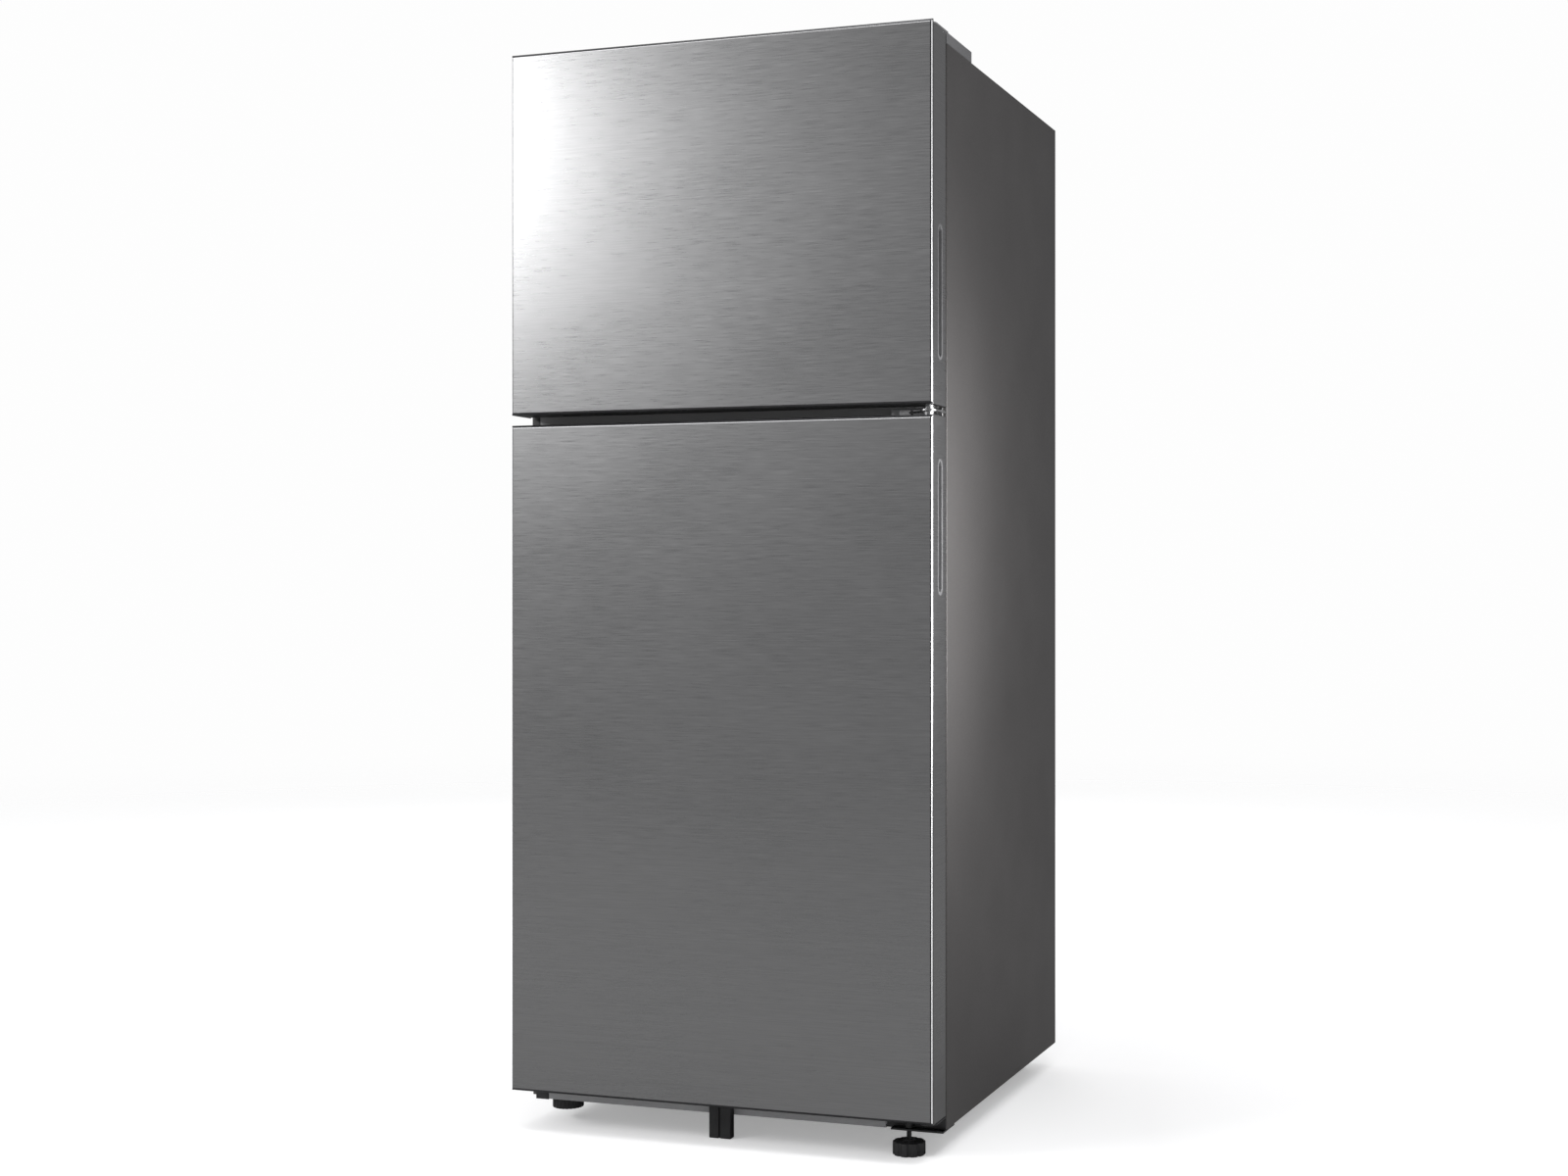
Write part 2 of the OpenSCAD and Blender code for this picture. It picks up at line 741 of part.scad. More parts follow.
// Fan with its axis along Z: a bored hub and pitched blades
module fan_rotor(r, depth, blades) {
    difference() {
        union() {
            cylinder(h = depth, r = 16);
            for (i = [0 : blades - 1]) rotate(i * 360 / blades)
                translate([14, 0, depth / 2]) rotate([35, 0, 0])
                    translate([0, -15, -0.8]) cube([r - 14, 30, 1.6]);
        }
        translate([0, 0, -1]) cylinder(h = depth + 2, r = 3 + running_gap);
    }
}

module condenser_fan() {
    color([0.15, 0.15, 0.15]) translate(fan_at) rotate([0, 90, 0]) fan_rotor(60, 18, 5);
}

module evaporator_fan() {
    color([0.9, 0.9, 0.9]) translate([0, 256, freezer_fan_z]) rotate([90, 0, 0]) fan_rotor(54, 16, 5);
}

// Two small motors with their shafts and brackets
module fan_motors() {
    color([0.5, 0.5, 0.52]) {
        bar_x([fan_at.x + 20, fan_at.y, fan_at.z], 30, 18);
        bar_x([fan_at.x + 1, fan_at.y, fan_at.z], 20, 3);
        block([fan_at.x + 30, fan_at.y - 8, base_z + 2], [fan_at.x + 34, fan_at.y + 8, fan_at.z]);
        bar_y([0, 258, freezer_fan_z], comp_back - 270, 18);
        bar_y([0, 241, freezer_fan_z], 20, 3);
        bar_y([0, comp_back - 14, freezer_fan_z], 14, 26);
    }
}

module evaporation_tray() {
    c = compressor_at;
    color([0.2, 0.2, 0.2]) open_box([c.x - 80, c.y - 75, 212], [c.x + 80, c.y + 75, 238], 2);
}

// Louvred cover of the machine space, with a hole for the power inlet
module rear_cover() {
    color([0.12, 0.12, 0.13]) difference() {
        block([-skin_x + 1, back_y - 2, base_z + 4], [skin_x - 1, back_y, machine_top - 1]);
        for (x = [-250, -90, 150], i = [0 : 8])
            block([x - 60, back_y - 3, 80 + i * 18], [x + 60, back_y + 1, 86 + i * 18]);
        block([264, back_y - 3, 80], [300, back_y + 1, 110]);
    }
}

module power_inlet() {
    color([0.08, 0.08, 0.08]) difference() {
        union() {
            block([264, back_y - 14, 80], [300, back_y, 110]);
            block([258, back_y - 14, 74], [306, back_y - 2, 116]);
        }
        bar_y([282, back_y - 15, 95], 20, 4.2);
    }
}

// ---- freezer fittings

module evaporator() {
    color([0.78, 0.79, 0.8])
        finned_coil([-200, 246, freezer_floor + 30], [200, 292, freezer_floor + 210], 17, 4, 2, 4);
}

module evaporator_cover() {
    color([0.92, 0.92, 0.93]) difference() {
        union() {
            block([-in_x + 0.5, cover_y, freezer_floor + 0.5], [in_x - 0.5, cover_y + 2, freezer_ceiling - 0.5]);
            both_sides() block([in_x - 2.5, cover_y, freezer_floor + 0.5],
                [in_x - 0.5, comp_back, freezer_ceiling - 0.5]);
        }
        for (i = [0 : 5], s = [-1, 1])
            block([s > 0 ? 4 : -48, cover_y - 1, freezer_fan_z - 44 + i * 16],
                [s > 0 ? 48 : -4, cover_y + 3, freezer_fan_z - 36 + i * 16]);
        for (i = [-6 : 6])
            block([i * 40 - 14, cover_y - 1, freezer_floor + 12], [i * 40 + 14, cover_y + 3, freezer_floor + 18]);
    }
}

// A glass pane and the moulded strips round it
module pane(z, y0, y1) {
    block([-in_x + 12, y0, z], [in_x - 12, y1, z + glass_t]);
}

module pane_trim(z, y0, y1) {
    x = in_x - 12;
    block([-x - 4, y0 - 8, z - 8], [x + 4, y0, z + glass_t]);
    block([-x - 4, y1, z - 2], [x + 4, y1 + 6, z + glass_t]);
    both_sides() block([x, y0 - 0.1, z - 2], [x + 4, y1 + 0.1, z + glass_t]);
}

module shelf_glass() {
    color([0.75, 0.9, 0.88, 0.4]) {
        for (z = shelf_z) pane(z + 2, -152, shelf_back);
        pane(freezer_shelf_z, -182, cover_y - 8);
    }
}

module shelf_trims() {
    color([0.88, 0.88, 0.9]) {
        for (z = shelf_z) pane_trim(z + 2, -152, shelf_back);
        pane_trim(freezer_shelf_z, -182, cover_y - 8);
    }
}

// Open housing that stands on the freezer shelf and holds the two twist trays over the bucket
module ice_maker_frame() {
    t = 2;
    z0 = freezer_shelf_z + glass_t;
    z1 = tray_z + 36;
    beam = tray_z - 34;
    color([0.9, 0.92, 0.95]) difference() {
        union() {
            for (x = [ice_x[0], ice_x[1] - t]) block([x, ice_y[0], z0], [x + t, ice_y[1], z1]);
            for (y = [ice_y[0], ice_y[1] - 3]) block([ice_x[0], y, beam], [ice_x[1], y + 3, z1]);
        }
        for (x = tray_x) bar_y([x, ice_y[0] - 1, tray_z], ice_y[1] - ice_y[0] + 2, 4 + running_gap);
    }
}

// Ice tray that hangs on its own trunnions, with a knob in front of the housing
module ice_tray(x) {
    h = 34;
    w = 104;
    y0 = ice_y[0] + 6;
    y1 = ice_y[1] - 6;
    cell = (y1 - y0 - 4) / 6;
    color([0.8, 0.9, 0.97]) {
        difference() {
            block([x - w / 2, y0, tray_z - h / 2], [x + w / 2, y1, tray_z + h / 2]);
            for (i = [0 : 5], s = [0, 1])
                block([x - w / 2 + 2 + s * (w / 2 - 1), y0 + 2 + i * cell + 1, tray_z - h / 2 + 3],
                    [x - 1 + s * (w / 2 - 1), y0 + 2 + (i + 1) * cell - 1, tray_z + h / 2 + 1]);
        }
        bar_y([x, ice_y[0] - 5, tray_z], 11.1, 4);
        bar_y([x, y1 - 0.1, tray_z], 8.1, 4);
        bar_y([x, ice_y[0] - 15, tray_z], 11, 17);
        block([x - 3, ice_y[0] - 21, tray_z - 16], [x + 3, ice_y[0] - 14, tray_z + 16]);
    }
}

module ice_tray_left() {
    ice_tray(tray_x[0]);
}

module ice_tray_right() {
    ice_tray(tray_x[1]);
}

module ice_bucket() {
    z0 = freezer_shelf_z + glass_t + 1;
    color([0.85, 0.92, 0.96]) difference() {
        open_box([ice_x[0] + 3.5, bucket_front, z0], [ice_x[1] - 3.5, ice_y[1] - 5, z0 + 86], bin_t);
        block([-185, bucket_front - 1, z0 + 66], [-115, bucket_front + bin_t + 1, z0 + 90]);
    }
}

// ---- fridge fittings

module fridge_duct() {
    color([0.9, 0.9, 0.92]) difference() {
        block([-75, duct_y, shelf_z[0] + 80], [75, comp_back, fridge_ceiling]);
        block([-72, duct_y + 3, shelf_z[0] + 83], [72, comp_back + 1, fridge_ceiling + 1]);
        for (z = [460, 700, 980], s = [-1, 1])
            block([s > 0 ? 12 : -60, duct_y - 2, z], [s > 0 ? 60 : -12, duct_y + 5, z + 9]);
    }
}

module control_box() {
    z0 = fridge_ceiling - 37;
    color([0.93, 0.93, 0.94]) difference() {
        union() {
            difference() {
                block([-130, -208, z0], [130, -60, fridge_ceiling]);
                block([-127, -205, z0 + 3], [127, -63, fridge_ceiling + 1]);
            }
            bar_y([dial_at.x, -206, dial_at.z], 8, 9);
        }
        bar_y([dial_at.x, -209, dial_at.z], 12, 3 + running_gap);
    }
}

module lamp_cover() {
    color([0.97, 0.97, 0.92, 0.8])
        block([-110, -190, fridge_ceiling - 45], [10, -90, fridge_ceiling - 37]);
}

module temperature_dial() {
    color([0.8, 0.8, 0.82]) {
        bar_y([dial_at.x, -222, dial_at.z], 13, 15);
        bar_y([dial_at.x, -210, dial_at.z], 10, 3);
        block([dial_at.x - 1.5, -224, dial_at.z + 2], [dial_at.x + 1.5, -221, dial_at.z + 13]);
    }
}

// A drawer with a thick front that has a finger lip along its top
module drawer(z0, z1, back) {
    x = drawer_x;
    open_box([-x, drawer_front, z0], [x, back, z1], bin_t);
    block([-x, drawer_front - 8, z0 + 2], [x, drawer_front + 0.1, z1]);
    block([-x, drawer_front - 14, z1 - 6], [x, drawer_front - 7, z1]);
}

module chiller_drawer() {
    color([0.85, 0.92, 0.96, 0.7]) drawer(shelf_z[2] + glass_t + 3, shelf_z[2] + 112, 250);
}

module crisper_drawer() {
    color([0.85, 0.92, 0.96, 0.7]) difference() {
        drawer(fridge_floor + 1, 312, step_y - 4);
        block([-50, drawer_front - 9, 262], [50, drawer_front - 4, 278]);
    }
}

// Vent slide in the recess of the crisper's front
module humidity_slider() {
    y = drawer_front - 4.4;
    color([0.75, 0.77, 0.8]) {
        block([-25, y - 3, 263], [25, y, 277]);
        block([-4, y - 9, 265], [4, y - 2.9, 275]);
    }
}

side_panels();
top_panel();
back_panel();
bottom_panel();
insulation();
freezer_liner();
fridge_liner();
mullion_rail();
trim_plugs();
base_rail();
top_hinge();
hinge_cover();
middle_hinge();
lower_hinge();
hinge_screws();
centre_leg();
compressor_base();
compressor();
compressor_mounts();
condenser();
refrigerant_pipes();
fan_motors();
evaporation_tray();
rear_cover();
power_inlet();
evaporator();
evaporator_cover();
fridge_duct();
control_box();
lamp_cover();
shelf_glass();
shelf_trims();
ice_maker_frame();
condenser_fan();
evaporator_fan();
temperature_dial();
ice_tray_left();
ice_tray_right();
ice_bucket();
chiller_drawer();
crisper_drawer();
humidity_slider();
right_foot();
left_foot();
roller_left();
roller_right();
freezer_door_skin();
freezer_door_core();
freezer_door_caps();
freezer_door_liner();
freezer_door_gasket();
freezer_door_grips();
freezer_door_bin_low();
freezer_door_bin_high();
fridge_door_skin();
fridge_door_core();
fridge_door_caps();
fridge_door_liner();
fridge_door_gasket();
fridge_door_grips();
fridge_door_bins();
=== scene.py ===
import bpy
import bmesh
import json
import math
from mathutils import Matrix, Vector


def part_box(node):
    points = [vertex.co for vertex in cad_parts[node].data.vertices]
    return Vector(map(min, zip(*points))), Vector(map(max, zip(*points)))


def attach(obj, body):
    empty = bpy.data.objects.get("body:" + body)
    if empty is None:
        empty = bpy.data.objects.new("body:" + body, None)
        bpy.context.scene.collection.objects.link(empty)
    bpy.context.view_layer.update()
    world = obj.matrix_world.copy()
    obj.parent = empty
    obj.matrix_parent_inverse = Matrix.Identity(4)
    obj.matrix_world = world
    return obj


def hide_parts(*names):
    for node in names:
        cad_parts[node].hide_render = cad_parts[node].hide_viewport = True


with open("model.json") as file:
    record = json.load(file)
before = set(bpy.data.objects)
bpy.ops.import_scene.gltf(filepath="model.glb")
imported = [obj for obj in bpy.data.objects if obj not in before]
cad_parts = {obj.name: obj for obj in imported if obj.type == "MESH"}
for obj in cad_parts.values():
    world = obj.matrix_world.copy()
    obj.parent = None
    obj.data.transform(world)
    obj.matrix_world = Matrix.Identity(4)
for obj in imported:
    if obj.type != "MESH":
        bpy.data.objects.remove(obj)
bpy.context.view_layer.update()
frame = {"nodes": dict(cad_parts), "record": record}
mm = 0.001
cadNodes = frame["nodes"]
scene = bpy.context.scene
print("loaded", len(cadNodes), "parts of the refrigerator")

# ---- camera, floor and lights

studio = {
    "cameraAt": (1.314, -3.398, 0.857), "cameraYaw": 18.85, "lens": 49.43, "shiftX": -0.0656,
    "floorSize": 14.0, "floorColour": (0.86, 0.86, 0.865, 1), "floorGlow": 0.32,
    "backdrop": (0.985, 0.985, 0.985, 1), "roomShine": (0.20, 0.20, 0.203, 1),
    "roomLight": (0.72, 0.72, 0.725, 1), "fadeFrom": 2.2, "fadeTo": 8.0,
}


def addNode(tree, kind, inputs=None, **settings):
    node = tree.nodes.new("ShaderNode" + kind)
    for key, value in settings.items():
        setattr(node, key, value)
    for key, value in (inputs or {}).items():
        if isinstance(value, bpy.types.NodeSocket):
            tree.links.new(value, node.inputs[key])
        else:
            node.inputs[key].default_value = value
    return node


def areaLight(name, at, aim, size, power):
    data = bpy.data.lights.new(name, "AREA")
    data.shape = "RECTANGLE"
    data.size, data.size_y = size
    data.energy = power
    light = bpy.data.objects.new(name, data)
    light.location = at
    light.rotation_euler = (Vector(aim) - Vector(at)).to_track_quat("-Z", "Y").to_euler()
    light.visible_camera = False
    scene.collection.objects.link(light)


def setStage():
    camera = bpy.data.objects.new("camera", bpy.data.cameras.new("camera"))
    camera.data.lens = studio["lens"]
    camera.data.shift_x = studio["shiftX"]
    camera.location = studio["cameraAt"]
    camera.rotation_euler = (math.pi / 2, 0, math.radians(studio["cameraYaw"]))
    scene.collection.objects.link(camera)
    scene.camera = camera
    scene.view_settings.view_transform = "Standard"

    bm = bmesh.new()
    bmesh.ops.create_circle(bm, cap_ends=True, radius=studio["floorSize"], segments=96)
    mesh = bpy.data.meshes.new("floor")
    bm.to_mesh(mesh)
    bm.free()
    floor = bpy.data.objects.new("floor", mesh)
    scene.collection.objects.link(floor)
    look = bpy.data.materials.new("paleFloor")
    look.use_nodes = True
    tree = look.node_tree
    shader = tree.nodes["Principled BSDF"]
    shader.inputs["Base Color"].default_value = studio["floorColour"]
    shader.inputs["Roughness"].default_value = 0.75
    shader.inputs["Specular IOR Level"].default_value = 0.2
    place = addNode(tree, "TexCoord").outputs["Object"]
    away = addNode(tree, "VectorMath", {0: place}, operation="LENGTH").outputs["Value"]
    fade = addNode(tree, "MapRange", {"Value": away, "From Min": studio["fadeFrom"],
                                      "From Max": studio["fadeTo"]},
                   interpolation_type="SMOOTHSTEP").outputs["Result"]
    path = addNode(tree, "LightPath")
    clear = addNode(tree, "BsdfTransparent").outputs[0]
    dim = addNode(tree, "BsdfDiffuse", {"Color": (0.24, 0.24, 0.24, 1)}).outputs[0]
    glow = addNode(tree, "Emission", {"Color": studio["backdrop"], "Strength": studio["floorGlow"]})
    lit = addNode(tree, "AddShader", {0: shader.outputs[0], 1: glow.outputs[0]}).outputs[0]
    ground = addNode(tree, "MixShader", {0: path.outputs["Is Camera Ray"], 1: shader.outputs[0],
                                         2: lit}).outputs[0]
    faded = addNode(tree, "MixShader", {0: fade, 1: ground, 2: clear}).outputs[0]
    mixed = addNode(tree, "MixShader", {0: path.outputs["Is Glossy Ray"], 1: faded, 2: dim}).outputs[0]
    tree.links.new(mixed, tree.nodes["Material Output"].inputs["Surface"])
    floor.data.materials.append(look)

    world = bpy.data.worlds.new("studio")
    scene.world = world
    world.use_nodes = True
    tree = world.node_tree
    seen = addNode(tree, "Background", {"Color": studio["backdrop"]}).outputs[0]
    shine = addNode(tree, "Background", {"Color": studio["roomShine"]}).outputs[0]
    room = addNode(tree, "Background", {"Color": studio["roomLight"]}).outputs[0]
    path = addNode(tree, "LightPath")
    lit = addNode(tree, "MixShader", {0: path.outputs["Is Diffuse Ray"], 1: shine, 2: room}).outputs[0]
    mixed = addNode(tree, "MixShader", {0: path.outputs["Is Camera Ray"], 1: lit, 2: seen}).outputs[0]
    tree.links.new(mixed, tree.nodes["World Output"].inputs["Surface"])

    areaLight("keyLight", (-3.27, -2.99, 2.45), (-0.35, -0.365, 1.7), (2.2, 0.9), 102)
    areaLight("topLight", (0.3, -0.4, 4.2), (0, 0, 0.4), (3.2, 3.2), 42)
    areaLight("sideLight", (4.1, -2.11, 1.1), (0.35, -0.2, 0.95), (1.0, 1.4), 3.7)
    areaLight("sideWash", (0.712, -0.39, 0.93), (0.35, -0.488, 0.93), (0.3, 0.557), 5.6)
    areaLight("backLight", (-1.8, 4.2, 2.4), (0, 0.3, 0.9), (2.2, 2.2), 24)


setStage()
print("stage is set")

# ---- finishes

looks = {}


def startLook(name, colour, roughness, metallic=0.0, specular=0.5):
    look = bpy.data.materials.new(name)
    look.use_nodes = True
    tree = look.node_tree
    shader = tree.nodes["Principled BSDF"]
    shader.inputs["Base Color"].default_value = (*colour, 1)
    shader.inputs["Roughness"].default_value = roughness
    shader.inputs["Metallic"].default_value = metallic
    shader.inputs["Specular IOR Level"].default_value = specular
    place = addNode(tree, "TexCoord").outputs["Object"]
    looks[name] = look
    return tree, shader, place


def noiseAt(tree, place, stretch, detail=3.0, rough=0.5, distortion=0.0):
    spot = addNode(tree, "Mapping", {"Vector": place, "Scale": stretch}).outputs[0]
    return addNode(tree, "TexNoise", {"Vector": spot, "Scale": 1.0, "Detail": detail, "Roughness": rough,
                                      "Distortion": distortion}).outputs["Fac"]


def spread(tree, value, low, high, start=0.3, stop=0.7):
    return addNode(tree, "MapRange", {"Value": value, "From Min": start, "From Max": stop,
                                      "To Min": low, "To Max": high}).outputs["Result"]


def mixColours(tree, factor, first, second):
    node = addNode(tree, "Mix", data_type="RGBA")
    for index, value in ((0, factor), (6, first), (7, second)):
        if isinstance(value, bpy.types.NodeSocket):
            tree.links.new(value, node.inputs[index])
        else:
            node.inputs[index].default_value = value if index == 0 else (*value, 1)
    return node.outputs[2]


def bumpUp(tree, height, strength, depth, under=None):
    inputs = {"Height": height, "Strength": strength, "Distance": depth}
    if under is not None:
        inputs["Normal"] = under
    return addNode(tree, "Bump", inputs).outputs["Normal"]


def connect(tree, shader, colour, roughness, normal):
    for key, value in (("Base Color", colour), ("Roughness", roughness), ("Normal", normal)):
        tree.links.new(value, shader.inputs[key])


# Steel with a fine grain that runs level round the doors
def brushedLook(name, dark, light, roughness, grainLength, grainHeight, depth):
    tree, shader, place = startLook(name, dark, roughness, 1.0)
    long = 1 / grainLength
    dashes = noiseAt(tree, place, (long, long, 1 / grainHeight), 2.0, 0.6)
    hairs = noiseAt(tree, place, (long / 6, long / 6, 2.2 / grainHeight), 1.0, 0.5)
    clouds = noiseAt(tree, place, (3, 3, 5), 2.0, 0.5)
    both = addNode(tree, "Math", {0: dashes, 1: hairs}, operation="ADD").outputs[0]
    tone = spread(tree, both, 0.0, 1.0, 0.62, 1.38)
    colour = mixColours(tree, tone, dark, light)
    smear = addNode(tree, "Math", {0: spread(tree, dashes, -0.025, 0.03),
                                   1: spread(tree, clouds, -0.015, 0.015)}, operation="ADD").outputs[0]
    rough = addNode(tree, "Math", {0: smear, 1: roughness}, operation="ADD").outputs[0]
    connect(tree, shader, colour, rough, bumpUp(tree, both, 0.35, depth))


# Baked paint: a slight orange peel with fine darker and lighter specks
def paintedLook(name, colour, speck, roughness, speckSize, peel, specular=0.5):
    tree, shader, place = startLook(name, colour, roughness, 0.0, specular)
    fine = 1 / speckSize
    specks = noiseAt(tree, place, (fine, fine, fine), 2.0, 0.7)
    waves = noiseAt(tree, place, (260, 260, 260), 1.0, 0.4)
    clouds = noiseAt(tree, place, (4, 4, 4), 2.0, 0.5)
    tone = spread(tree, specks, 0.0, 1.0, 0.34, 0.66)
    speckled = mixColours(tree, tone, colour, speck)
    shade = mixColours(tree, spread(tree, clouds, 0.0, 0.35), speckled, tuple(c * 0.82 for c in colour))
    rough = spread(tree, clouds, roughness - 0.04, roughness + 0.05)
    first = bumpUp(tree, waves, 0.3, peel)
    connect(tree, shader, shade, rough, bumpUp(tree, specks, 0.25, peel * 0.4, first))


# Moulded plastic: etched texture, a little unevenness in tone and gloss
def mouldedLook(name, colour, roughness, grain, depth, specular=0.45, wear=0.12):
    tree, shader, place = startLook(name, colour, roughness, 0.0, specular)
    fine = 1 / grain
    etched = noiseAt(tree, place, (fine, fine, fine), 3.0, 0.6)
    clouds = noiseAt(tree, place, (9, 9, 9), 3.0, 0.55)
    paler = tuple(min(1.0, c + wear * 0.25 * (1 - c) * (0.25 + c)) for c in colour)
    darker = tuple(c * (1 - wear) for c in colour)
    tone = mixColours(tree, spread(tree, clouds, 0.0, 1.0), darker, paler)
    rough = spread(tree, clouds, roughness - 0.05, roughness + 0.07)
    connect(tree, shader, tone, rough, bumpUp(tree, etched, 0.4, depth))


# Plain metal with drawn or plated unevenness
def metalLook(name, colour, shadow, roughness, stretch, depth):
    tree, shader, place = startLook(name, colour, roughness, 1.0)
    marks = noiseAt(tree, place, stretch, 3.0, 0.6)
    clouds = noiseAt(tree, place, (14, 14, 14), 3.0, 0.6, 0.4)
    tone = mixColours(tree, spread(tree, clouds, 0.0, 0.8), colour, shadow)
    tone = mixColours(tree, spread(tree, marks, 0.0, 0.35), tone, shadow)
    rough = spread(tree, marks, roughness - 0.07, roughness + 0.1)
    connect(tree, shader, tone, rough, bumpUp(tree, marks, 0.3, depth))


# The polished bevel round a door's face, coloured near white and not metallic as a painted highlight, with a
# dark line of painted shade along its rear edge
def paintedEdgeLook(name, colour, shadow, front):
    tree, shader, place = startLook(name, colour, 0.4, 0.0)
    depth = addNode(tree, "SeparateXYZ", {0: place}).outputs["Y"]
    shadeBand = spread(tree, depth, 0.0, 1.0, front + 1.9 * mm, front + 2.2 * mm)
    marks = noiseAt(tree, place, (40, 40, 900), 3.0, 0.6)
    glintTone = mixColours(tree, spread(tree, marks, 0.0, 0.3), colour, tuple(c * 0.85 for c in colour))
    connect(tree, shader, mixColours(tree, shadeBand, glintTone, shadow), spread(tree, marks, 0.34, 0.46),
            bumpUp(tree, marks, 0.2, 0.00002))


# Hot-dipped sheet with its flake pattern
def flakedLook(name, colour, shadow, roughness, flake):
    tree, shader, place = startLook(name, colour, roughness, 0.85)
    wobble = noiseAt(tree, place, (60, 60, 60), 2.0, 0.5)
    spot = addNode(tree, "VectorMath", {0: place, 1: (1 / flake, 1 / flake, 1 / flake)},
                   operation="MULTIPLY").outputs[0]
    cells = addNode(tree, "TexVoronoi", {"Vector": spot, "Scale": 1.0})
    tint = addNode(tree, "SeparateColor", {0: cells.outputs["Color"]}).outputs[0]
    mixed = addNode(tree, "Math", {0: tint, 1: spread(tree, wobble, -0.2, 0.2)}, operation="ADD").outputs[0]
    tone = mixColours(tree, spread(tree, mixed, 0.0, 1.0, 0.0, 1.0), shadow, colour)
    rough = spread(tree, tint, roughness - 0.08, roughness + 0.1, 0.0, 1.0)
    connect(tree, shader, tone, rough, bumpUp(tree, wobble, 0.2, 0.0004))


# Clear plastic or glass, faintly tinted
def clearLook(name, colour, roughness, transmission, ior, haze=0.02):
    tree, shader, place = startLook(name, colour, roughness)
    shader.inputs["Transmission Weight"].default_value = transmission
    shader.inputs["IOR"].default_value = ior
    clouds = noiseAt(tree, place, (30, 30, 30), 2.0, 0.5)
    flow = noiseAt(tree, place, (120, 120, 120), 1.0, 0.5)
    tone = mixColours(tree, spread(tree, clouds, 0.0, 1.0), colour, tuple(c * 0.93 for c in colour))
    connect(tree, shader, tone, spread(tree, clouds, roughness, roughness + haze),
            bumpUp(tree, flow, 0.15, 0.0002))


def makeLooks():
    brushedLook("brushedDoor", (0.405, 0.405, 0.41), (0.50, 0.50, 0.505), 0.29, 0.045, 0.0011, 0.00004)
    # The door bevel's near-white colour is a painted highlight with a painted shade line at its rear, and
    # edgeShadow is darker steel used as painted shade beside the bevel
    paintedEdgeLook("edgeGlintAndShade", (0.93, 0.93, 0.94), (0.05, 0.05, 0.052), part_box("freezer_door_skin")[0].y)
    metalLook("edgeShadow", (0.16, 0.16, 0.165), (0.10, 0.10, 0.105), 0.3, (40, 40, 900), 0.00002)
    paintedLook("graphitePaint", (0.057, 0.054, 0.0535), (0.085, 0.081, 0.080), 0.46, 0.0015, 0.00008)
    paintedLook("satinRail", (0.26, 0.26, 0.265), (0.32, 0.32, 0.325), 0.42, 0.001, 0.00006)
    flakedLook("galvanised", (0.66, 0.67, 0.69), (0.55, 0.56, 0.58), 0.42, 0.006)
    mouldedLook("whiteLiner", (0.83, 0.84, 0.84), 0.24, 0.0022, 0.00006, 0.5, 0.05)
    mouldedLook("blackMoulding", (0.022, 0.022, 0.023), 0.42, 0.0007, 0.00012)
    mouldedLook("capGrey", (0.055, 0.055, 0.058), 0.46, 0.0008, 0.00012)
    mouldedLook("gripGrey", (0.115, 0.115, 0.118), 0.4, 0.0008, 0.0001)
    mouldedLook("coverGrey", (0.165, 0.165, 0.17), 0.5, 0.0009, 0.00018)
    mouldedLook("gasketGrey", (0.36, 0.36, 0.365), 0.55, 0.0012, 0.0001, 0.35)
    mouldedLook("ductWhite", (0.76, 0.77, 0.78), 0.38, 0.001, 0.0001, 0.45, 0.06)
    mouldedLook("rubber", (0.018, 0.018, 0.019), 0.72, 0.0006, 0.0002, 0.3)
    mouldedLook("foamYellow", (0.78, 0.66, 0.36), 0.85, 0.0016, 0.0012, 0.2)
    metalLook("polishedPlate", (0.93, 0.93, 0.935), (0.80, 0.80, 0.81), 0.16, (300, 300, 300), 0.00002)
    metalLook("zincPlate", (0.66, 0.66, 0.665), (0.44, 0.44, 0.45), 0.28, (200, 200, 200), 0.00005)
    paintedLook("blackEnamel", (0.016, 0.016, 0.017), (0.03, 0.03, 0.031), 0.3, 0.0012, 0.00008, 0.55)
    metalLook("drawnCopper", (0.78, 0.40, 0.24), (0.45, 0.21, 0.13), 0.3, (900, 120, 900), 0.00004)
    metalLook("motorShell", (0.45, 0.46, 0.48), (0.3, 0.31, 0.33), 0.36, (150, 150, 150), 0.00008)
    metalLook("finAluminium", (0.78, 0.79, 0.81), (0.6, 0.61, 0.63), 0.36, (60, 300, 300), 0.00005)
    clearLook("shelfPane", (0.90, 0.97, 0.95), 0.03, 0.96, 1.5)
    clearLook("clearBin", (0.95, 0.975, 0.985), 0.06, 0.93, 1.45, 0.05)
    clearLook("lampLens", (0.95, 0.95, 0.93), 0.35, 0.55, 1.49, 0.1)


makeLooks()
lookOfSlot = {
    "door_steel": "brushedDoor", "cabinet_paint": "graphitePaint", "galvanised_sheet": "galvanised",
    "foam": "foamYellow", "liner_white": "whiteLiner", "rail_grey": "satinRail",
    "black_plastic": "blackMoulding", "hinge_steel": "zincPlate", "cover_grey": "coverGrey",
    "black_steel": "blackEnamel", "grommet_rubber": "rubber", "copper": "drawnCopper",
    "motor_metal": "motorShell", "fin_aluminium": "finAluminium", "duct_plastic": "ductWhite",
    "lamp_lens": "lampLens", "shelf_glass": "shelfPane", "clear_plastic": "clearBin",
    "cap_plastic": "capGrey", "gasket_grey": "gasketGrey",
}
slotOfNode = {name: node.data.materials[0].name for name, node in cadNodes.items()}
bodyOfNode = {name: body for body, names in frame["record"]["behaviour"]["bodies"].items() for name in names}
for name, node in cadNodes.items():
    node.material_slots[0].material = looks[lookOfSlot[slotOfNode[name]]]
print("made", len(looks), "finishes")

# ---- helpers for pieces

# Angles between faces, in radians, above which an edge counts as a corner
cornerAngle = 1.2
roundedAngle = 0.9


